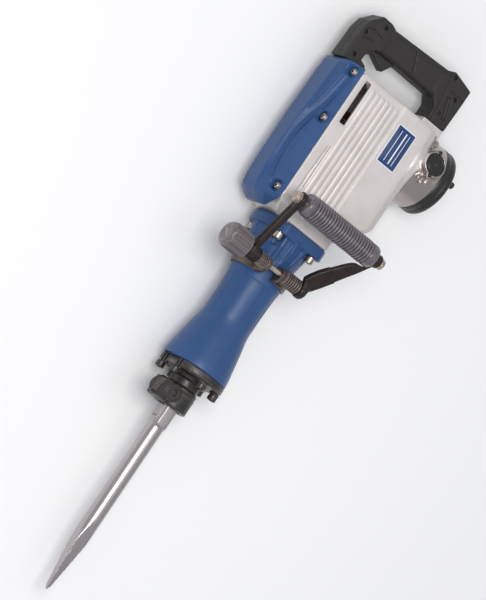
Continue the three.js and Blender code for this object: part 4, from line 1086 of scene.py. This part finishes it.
# ------------------------------------------------------------------ brush caps, badge, tail
def brush_cap(name, node, side):
    s = -1 if side < 0 else 1
    f = Field((BRUSH_X - 17, -67.6, -17), (BRUSH_X + 17, -38, 17), 0.5)
    if s < 0:
        f.add(cyl("y", BRUSH_X, 0, 16.9, -66.1, -50, 1.6))
        f.cut(revolve("y", BRUSH_X, 0, [(12.6, -65.5), (13.4, -65.5), (13.4, -68), (12.6, -68)]), 0.6)
        f.add(tube([(BRUSH_X, -64.9, 0), (BRUSH_X, -64.8, 0.05)], [2.7, 2.7]), 1.0)
        v, t, q = f.mesh()
    else:
        f = Field((BRUSH_X - 14.8, 39, -16), (BRUSH_X + 14.8, 60, 15), 0.5)
        f.add(cyl("y", BRUSH_X, 0, 14.8, 40, 72, 0.6))
        f.cut(turned(box(-200, 300, 52.9, 130, -300, 300), "x", BRUSH_TILT, (0, 0, 0)), 0.6)
        f.cut(box(80, 150, 30, 43.5, -20, 20))
        v, t, q = f.mesh()
    return piece(name, moved((v, t, q), rot_x(-BRUSH_TILT, (0, 0, MOTOR_Z))), "black_plastic", node)


brush_cap("brush_cap_near", "brush_cap_left", -1)
for i, dz in enumerate((20.2, -20.2)):
    part = cap_screw("y", (BRUSH_X - 1.5, dz), -63.7, 3.3, 2.6, 1.6, 8, -1, 1.7, n=40)
    piece(f"brush_ring_screw_{i + 1}", moved(part, rot_x(-BRUSH_TILT, (0, 0, MOTOR_Z))), "black_steel", "motor_housing", slot="black_steel", angle=32)
brush_cap("brush_cap_far", "brush_cap_right", 1)


def build_badge():
    out = [(27.0, 477.6), (63.6, 477.6), (63.6, 544.0), (27.0, 544.0)]
    rr = soft(out, 1.6, 4, closed=True)
    rings = []
    for y, k in ((-54.8, 0.0), (-55.15, 0.0), (-55.3, 0.2)):
        P = np.array(rr)
        c = P.mean(0)
        P = c + (P - c) * (1 - k / 18)
        rings.append(np.stack([P[:, 0], np.full(len(P), y), P[:, 1]], 1))
    return piece("badge", skin(rings), "blue_label", "badge_plate", angle=50)


build_badge()


def build_tail_cover():
    prof = [(0.05, 159.9), (6, 159.9), (8, 161.3), (14, 161.3), (15.2, 160.1), (19, 160.1), (20.2, 161.3), (25, 161.3), (26.2, 160.1), (30, 160.1),
            (31.2, 161.3), (36, 161.3), (37.2, 160.1), (40.5, 160.1), (42, 161.4), (45.5, 161.5), (49, 161.35), (51.3, 160.9), (53.0, 159.9),
            (54.3, 158.2), (55.1, 156.4), (55.5, 154.4), (55.5, 150.2), (54.9, 149.5), (54.9, 147.6), (55.5, 146.9), (55.5, 141.2), (54.9, 139.0), (54.4, 138.3),
            (43, 138.3), (43, 146.3), (0.05, 146.3)]

    def radius(r, t, th):
        out = np.full(len(th), r)
        if 52.9 < r and 141.0 <= t <= 158.4:
            out = r - 0.35 * np.clip(np.cos(th * 60) * 3, 0, 1) * (1 if (t > 150 or t < 147) else 0)
        return out

    v, t, q = lathe("x", (0, MOTOR_Z), prof, 240, radius=radius)
    v[:, 1] = np.minimum(v[:, 1], 54.35)
    return piece("tail_cap", (v, t, q), "black_plastic", "tail_cover", angle=38)


build_tail_cover()
piece(
    "tail_cap_stud",
    lathe("x", (-42, 524), [(0.05, 170), (4.2, 170), (5.2, 169.2), (5.6, 168), (5.6, 163), (5.0, 161.9), (3.2, 161.8), (3.2, 152.6), (2.4, 152), (0.05, 152)], 40),
    "black_steel", "tail_cover_screw", angle=40,
)


# ------------------------------------------------------------------ D-handle
def handle_field():
    f = Field((-98, -20, 574.6), (119, 20, 669), 0.8)
    left = [(-98, 574.6), (-96.2, 626), (-92, 643.5), (-75.5, 661.5), (-57, 661.0), (-47, 657.2), (-46, 640), (-50, 614.3), (-56, 614), (-67, 602), (-68, 588), (-56, 584), (-56, 574.6)]
    grip = [(-80, 650), (-75, 656), (71, 663), (84, 664), (84, 622), (70, 616), (-10, 616), (-60, 613.8)]
    right = [(66, 662.7), (79, 669), (119, 660), (119, 633), (117.5, 584.2), (79, 584.2), (79, 604), (70, 616), (60, 630)]
    f.add(prism("y", left, -20, 20, 2.6))
    f.add(prism("y", grip, -19.4, 19.4, 9.5), 5.0)
    f.add(prism("y", right, -20, 20, 3.4), 4.0)
    return f


def build_handle():
    f = handle_field()
    # overmoulded back of the grip stands a little proud
    f.add(prism("y", [(-57, 651), (7.5, 655.6), (66, 659.8), (70, 662.6), (-56, 656.6)], -17.6, 17.6, 1.8), 1.2)

    def groove(a, b, w=0.9, deep=1.1):
        (xa, za), (xb, zb) = a, b
        L = math.hypot(xb - xa, zb - za)
        nx, nz = (zb - za) / L * w / 2, (xa - xb) / L * w / 2
        for y0, y1 in ((-24, -20 + deep), (20 - deep, 24)):
            f.cut(prism("y", [(xa - nx, za - nz), (xb - nx, zb - nz), (xb + nx, zb + nz), (xa + nx, za + nz)], y0, y1), 0.5)

    groove((-102.9, 627.3), (-77.2, 637.2))
    groove((-77.2, 637.2), (-58, 633))
    groove((-89.6, 617.1), (-66, 622.2))
    groove((-1.5, 660), (4, 650), 0.9, 3.5)
    groove((4, 650), (22, 612), 0.9, 3.0)
    groove((76.6, 661), (83.4, 624.8), 1.0)
    groove((83.4, 624.8), (87.2, 582), 1.0)
    groove((88, 642), (118, 640), 0.9)
    # screw wells
    for x, z in ((-93.5, 626), (-64, 650), (82.6, 661), (103, 634), (-84, 588)):
        r = 3.4
        for y0, y1 in ((-26, -15.5), (15.5, 26)):
            f.cut(cyl("y", x + (4.5 if x < -90 else 0), z, r, y0, y1, 0.4), 0.7)
    # long recess in the outer leg
    for y0, y1 in ((-26, -17.0), (17.0, 26)):
        f.cut(prism("y", [(88.5, 632), (96.5, 632), (108.5, 598), (100.5, 598)], y0, y1, 2.5), 0.8)
        f.cut(cyl("y", 92.7, 602.9, 2.6, y0, y1, 0.4), 0.6)
    # hollow, with a window for the trigger
    f.cut(box(-76, 84, -15.5, 15.5, 622, 650, 2.0))
    f.cut(box(-90, -72, -15.5, 15.5, 588, 640, 2.0))
    f.cut(box(84, 113, -15.0, 15.0, 589, 652, 2.0))
    f.cut(box(-66, -10, -8.8, 8.8, 596, 630, 0.8), 0.6)
    f.cut(cyl("y", -30, 628, 4.8, 10, 26), 0.5)
    f.cut(cyl("y", 98, 612, 6.2, 10, 26), 0.5)
    keep = f.d.copy()
    Y = f.ax[1][None, :, None]
    for name, node, s in (("handle_half_near", "handle_shell_left", -1), ("handle_half_far", "handle_shell_right", 1)):
        half = (0.15 - s * Y).astype(np.float32)
        f.d = -smin(-keep, -np.broadcast_to(half, keep.shape), 0.6)
        piece(name, f.mesh(), "grey_plastic", node)
    for i, (x, z) in enumerate(((-89, 626), (-64, 650), (82.6, 661), (103, 634), (-84, 588))):
        o = piece(f"handle_screw_{i + 1}", cap_screw("y", (x, z), -16.2, 3.1, 1.6, 1.6, 3.0, -1, 1.5, n=32), "black_steel", "handle_shell_left", slot="black_steel", angle=32)


build_handle()


def build_trigger():
    x0, z0 = -60.0, 613.0
    f = Field((x0 - 4, -8.3, z0 - 17), (x0 + 47, 8.3, z0 + 7), 0.5)
    f.add(prism("y", [(x0 + a, z0 + b) for a, b in ((-4, -4), (-1, -12), (7, -4), (37, -17), (46, -2), (47, 6), (2, 7), (-4, 4))], -8.3, 8.3, 1.3))
    for k in range(5):
        x = x0 + 13 + 5 * k
        z = z0 - 6.6 - 13 / 30 * (5 * k)
        f.cut(cyl("y", x, z - 1.2, 1.1, -6, 6), 0.5)
    return piece("trigger_lever", f.mesh(), "black_plastic", "trigger")


build_trigger()
piece("lock_pin", lathe("y", (-30, 628), [(0.05, 23.5), (1.4, 23.45), (3.2, 23.1), (4.0, 22.4), (4.4, 21.4), (4.4, 12.5), (3.9, 12), (0.05, 12)], 48), "black_plastic", "lock_button", angle=40)


def build_gland():
    prof = [(4, 16), (5.9, 16), (5.9, 20.3), (9, 20.3), (9, 21.2), (8.6, 21.7), (8.7, 22.2), (8.4, 22.7), (8.5, 23.3), (8.2, 23.8), (8.3, 24.4), (8.0, 25.0), (7.8, 25.7), (7.3, 26), (4.6, 26), (4, 25.4)]
    return piece("cord_entry_bush", lathe("y", (98, 612), prof, 48, closed=True), "black_rubber", "cord_gland", angle=35)


build_gland()


# ------------------------------------------------------------------ side handle
def build_band():
    f = Field((-47.3, -69, 236), (47.3, 47.3, 262), 0.6)
    f.add(revolve("z", 0, 0, [(43.3, 236), (47.3, 236), (47.3, 262), (43.3, 262)], 0.7))
    f.cut(box(-25, -2, -70, -30, 225, 275))
    shape = [(-44.5, 236), (-57, 238), (-66, 243), (-69, 251), (-66, 259), (-57, 262), (-44.5, 262), (-33, 262), (-33, 236)]
    for a, b in ((-31, -25), (-2, 4)):
        f.add(prism("x", shape, a, b, 1.2), 2.0)
    f.cut(cyl("z", 0, 0, 43.3, 200, 300))
    f.cut(cyl("x", -60, 251, 4.4, -60, 60))
    return piece("neck_band", f.mesh(), "band_steel", "clamp_band")


build_band()
cy, cz = HUB[1], HUB[2]


def knob_radius(r, t, th):
    out = np.full(len(th), r)
    for i in range(8):
        p = (th - i * math.pi / 4 + math.pi) % (2 * math.pi) - math.pi
        s = 26 * np.sin(p)
        ok = (np.abs(s) < 6.9) & (np.abs(p) < 1)
        fl = np.where(ok, 26 * np.cos(p) - np.sqrt(np.maximum(6.9**2 - s * s, 0)), 99)
        depth = np.clip((t + 114.5) / 5, 0, 1)
        fl = np.where(ok, fl * depth + out * (1 - depth), out)
        out = smin(out, fl, 0.9) if r > 17 else out
    return out


piece(
    "knob",
    lathe("x", (cy, cz), [(0.05, -116.2), (6, -116.3), (10, -116.9), (13, -117.0), (16.2, -116.4), (18.8, -115.2), (20.6, -113.6), (21.9, -111.4), (22.7, -108.6), (23, -105),
                          (23, -96), (23, -88), (23, -81.5), (22.6, -79), (21.6, -77), (20, -75.4), (18, -74.4), (15.6, -73.8), (14.4, -72.9), (13, -72.4), (4.4, -72.4), (4.4, -88), (0.05, -88.2)], 288, radius=knob_radius),
    "knob_plastic", "clamp_knob", angle=50,
)


def build_clamp_bolt():
    rod = lathe("x", (cy, cz), [(0.05, -87.6), (3.4, -87.6), (4, -87), (4, 44), (0.05, 44)], 48)
    head = lathe("x", (cy, cz), [(0.05, 44), (7.2, 44), (8.4, 44.5), (8.4, 47.2), (7.2, 47.8), (0.05, 47.8)], 96,
                 radius=lambda r, t, th: np.full(len(th), r) if r < 7.3 else np.minimum(hex_radius(7.36, th), 8.45))
    return piece("clamp_screw_steel", merge([rod, head]), "zinc_steel", "clamp_bolt", angle=35)


build_clamp_bolt()


def ribbed(x0, x1, r0, r1, n):
    out = [(4.6, x0 + 0.2), (r0 - 0.6, x0), (r0, x0 + 0.4)]
    p = (x1 - x0 - 1.2) / n
    for i in range(n):
        a = x0 + 0.6 + i * p
        out += [(r0, a + 0.05 * p), (r0 + (r1 - r0) * 0.6, a + 0.16 * p), (r1 - 0.25, a + 0.26 * p), (r1, a + 0.36 * p), (r1, a + 0.52 * p), (r1 - 0.25, a + 0.62 * p), (r0 + (r1 - r0) * 0.6, a + 0.74 * p), (r0, a + 0.88 * p)]
    out += [(r0, x1 - 0.4), (r0 - 0.6, x1), (4.6, x1 - 0.2)]
    return out


piece("collar_near", lathe("x", (cy, cz), ribbed(-50.5, -31.3, 9.2, 11, 5), 72, closed=True), "collar_steel", "serrated_collar_left", angle=30)
piece("collar_far", lathe("x", (cy, cz), ribbed(4.3, 35.6, 10, 12.4, 7), 72, closed=True), "collar_steel", "serrated_collar_right", angle=30)
LOOP = rot_x(LOOP_TILT, HUB)


def build_left_arm():
    f = Field((-70, -12, -12), (-51, 12, LOOP_L + 12), 0.5)
    f.add(cyl("x", 0, 0, 12, -70, -51, 1.2))
    f.add(prism("y", [(-70, -6), (-62, -6), (-61, 40), (-61, LOOP_L + 6), (-69, LOOP_L + 6), (-70, 40)], -8.4, 8.4, 1.8), 3.0)
    f.add(cyl("x", 0, LOOP_L, 12, -69, -61, 1.6), 2.0)
    # channel down the flat, open towards the outside
    f.cut(box(-74, -67.2, -4.6, 4.6, 16, 90, 1.8), 1.4)
    f.cut(cyl("x", 0, 0, 4.4, -80, -40))
    f.cut(cyl("x", 0, LOOP_L, 5.3, -80, -50))
    return piece("arm_near", moved(f.mesh(), LOOP), "dark_steel", "side_arm_left")


def curve(P, n=36):
    P = np.array(P, float)
    Q = np.concatenate([[2 * P[0] - P[1]], P, [2 * P[-1] - P[-2]]])
    out = []
    for i in range(1, len(Q) - 2):
        for k in range(max(2, n // len(P))):
            t = k / max(2, n // len(P))
            a, b, c, d = Q[i - 1], Q[i], Q[i + 1], Q[i + 2]
            out.append(0.5 * (2 * b + (c - a) * t + (2 * a - 5 * b + 4 * c - d) * t * t + (3 * b - a - 3 * c + d) * t**3))
    out.append(P[-1])
    return [tuple(p) for p in out]


def build_right_arm():
    f = Field((6, -16, -27), (102, 16, 118), 0.55)
    outer = [(41.5, -8), (46, -1.6), (52.4, 8.5), (60, 21.5), (67.3, 35), (73.8, 47.5), (80.8, 61), (88.5, 75.5), (96, 92), (100.5, 103), (102, 116)]
    inner = [(93, 116), (92.4, 98), (91.2, 88.5), (86, 86.2), (76, 84.0), (67.5, 76.5), (58, 63.5), (49.6, 51), (41.6, 38.9), (36.2, 28), (32.4, 19)]
    f.add(prism("y", curve(outer) + curve(inner) + [(34, 14.8), (37, 13.8), (37, -10)], -4.5, 4.5, 1.6))
    # the first third is sleeved, a little thicker all round
    f.add(prism("y", [(41.5, -8.4), (46.6, -1.8), (53.2, 8.2), (60.8, 21.0), (68.1, 34.8), (72.2, 42.6), (51.6, 55.6), (48.8, 51.8), (40.8, 39.6), (35.4, 28.4), (31.8, 18.6), (34, 14.8), (37, 13.8), (37, -10)], -5.5, 5.5, 1.8), 0.8)
    f.add(cyl("x", 0, 0, 13.0, 36, 45.4, 3.0), 7.0)
    f.add(cyl("x", 0, 0, 12.0, 40, 48.6, 3.0), 5.0)
    f.add(cyl("x", 0, LOOP_L, 11, 93, 102, 1.4), 2.0)
    f.cut(cyl("x", 0, 0, 4.4, 20, 49))
    f.cut(cyl("x", 0, 0, 9.4, 43.4, 62, 0.6), 0.3)
    f.cut(cyl("x", 0, 0, 13.2, 2, 35.9))
    f.cut(cyl("x", 0, LOOP_L, 5.3, 70, 112))
    return piece("arm_far", moved(f.mesh(), LOOP), "dark_steel", "side_arm_right")


build_left_arm()
build_right_arm()


def build_grip():
    x0, x1 = -57.0, 90.0
    prof = [(5.6, x0 + 0.3), (13.5, x0), (15.6, x0 + 0.5), (17.0, x0 + 1.6), (17.8, x0 + 3.2), (18.3, x0 + 6), (18.5, x0 + 11.5)]
    a, b, n = x0 + 13.5, x1 - 16, 22
    p = (b - a) / n
    for i in range(n):
        s = a + i * p
        prof += [(17.0, s), (17.5, s + 0.12 * p), (18.6, s + 0.24 * p), (19.1, s + 0.36 * p), (19.2, s + 0.5 * p), (19.1, s + 0.64 * p), (18.6, s + 0.76 * p), (17.5, s + 0.88 * p)]
    prof += [(17.0, b), (18.2, b + 1.2), (18.6, b + 3), (18.6, x1 - 5), (18.2, x1 - 3), (17.2, x1 - 1.4), (15.4, x1 - 0.4), (13.5, x1), (5.6, x1 - 0.3)]
    part = lathe("x", (0, LOOP_L), prof, 96, closed=True)
    return piece("grip_sleeve", moved(part, LOOP), "grip_rubber", "side_grip", angle=60)


build_grip()


def hex_nut(x0, x1, flat, bore=0.05):
    def radius(r, t, th):
        if r < flat * 0.8:
            return np.full(len(th), r)
        return np.minimum(hex_radius(flat, th), r)
    c = 1.0
    return lathe("x", (0, LOOP_L), [(bore, x0), (flat * 0.78, x0), (flat * 1.0, x0 + 0.25), (flat * 1.155, x0 + c), (flat * 1.155, x1 - c), (flat * 1.0, x1 - 0.25), (flat * 0.78, x1), (bore, x1)], 96, radius=radius)


def build_grip_rod():
    rod = lathe("x", (0, LOOP_L), [(0.05, -79), (3.6, -79), (4.6, -78.2), (4.6, -78), (5, -77.8), (5, 110.0), (4.6, 110.4), (0.05, 110.4)], 48)
    parts = [rod, hex_nut(-77.6, -70.9, 8.1), hex_nut(103.9, 109.9, 8.1)]
    for a, b in ((-70.9, -69.4), (102.4, 103.9)):
        parts.append(lathe("x", (0, LOOP_L), [(0.05, a), (9.0, a), (9.4, a + 0.3), (9.4, b - 0.3), (9.0, b), (0.05, b)], 64))
    return piece("grip_bolt", moved(merge(parts), LOOP), "zinc_steel", "grip_rod", angle=35)


build_grip_rod()


# ------------------------------------------------------------------ works inside the castings
for name, prof, mat in (
    ("piston", [(0.05, 271), (26.6, 271), (28.2, 271.6), (28.6, 272.8), (28.6, 277), (28.2, 277.2), (28.2, 279.6), (28.6, 279.8), (28.6, 330.4), (28, 331), (27, 331), (26.4, 330.4), (26.4, 287), (24.4, 285), (0.05, 285)], "machined_steel"),
    ("striker", [(0.05, 170), (13, 170), (14.6, 170.6), (15, 171.6), (15, 182), (16.5, 184.4), (20, 185.6), (27.6, 186), (28.6, 187), (28.6, 192), (27.2, 192.8), (27.2, 197.2), (28.6, 198), (28.6, 224), (27.6, 225), (0.05, 225)], "machined_steel"),
    ("ram", [(0.05, 118.4), (13, 118.4), (14.6, 119), (15, 120.2), (15, 140.1), (15.6, 140.5), (21, 140.6), (22, 141.6), (22, 152), (15.6, 156), (15, 157.4), (14.6, 160), (13.4, 161), (0.05, 161)], "machined_steel"),
):
    piece(name + "_turned", lathe("z", (0, 0), prof, 96), mat, name, angle=30)
for name, prof, mat in (
    ("cylinder_liner", [(29.2, 151.2), (29.8, 150.6), (33.5, 150.6), (34.1, 151.2), (34.1, 345.4), (33.5, 346), (29.8, 346), (29.2, 345.4)], "machined_steel"),
    ("ram_guide", [(18.2, 92.6), (18.8, 92), (33.5, 92), (34.1, 92.6), (34.1, 139.3), (33.5, 139.9), (16.1, 139.9), (15.5, 139.3), (15.5, 117), (18.2, 114.8)], "machined_steel"),
    ("rubber_damper", [(24, 141), (24.7, 140.3), (33.4, 140.3), (34.1, 141), (34.1, 149.5), (33.4, 150.2), (24.7, 150.2), (24, 149.5)], "black_rubber"),
):
    piece(name + "_turned", lathe("z", (0, 0), prof, 96, closed=True), mat, name, angle=30)

for name, o in frame["nodes"].items():
    if o.hide_render:
        continue
    s = SLOTS[name]
    if not o.data.materials:
        o.data.materials.append(MATS[s])
    for i in range(len(o.data.materials)):
        o.material_slots[i].link = "OBJECT"
        o.material_slots[i].material = MATS[s]
    bev = o.modifiers.new("edge", "BEVEL")
    bev.width = 0.00035
    bev.segments = 2
    bev.limit_method = "ANGLE"
    bev.angle_limit = math.radians(40)

bpy.context.view_layer.update()
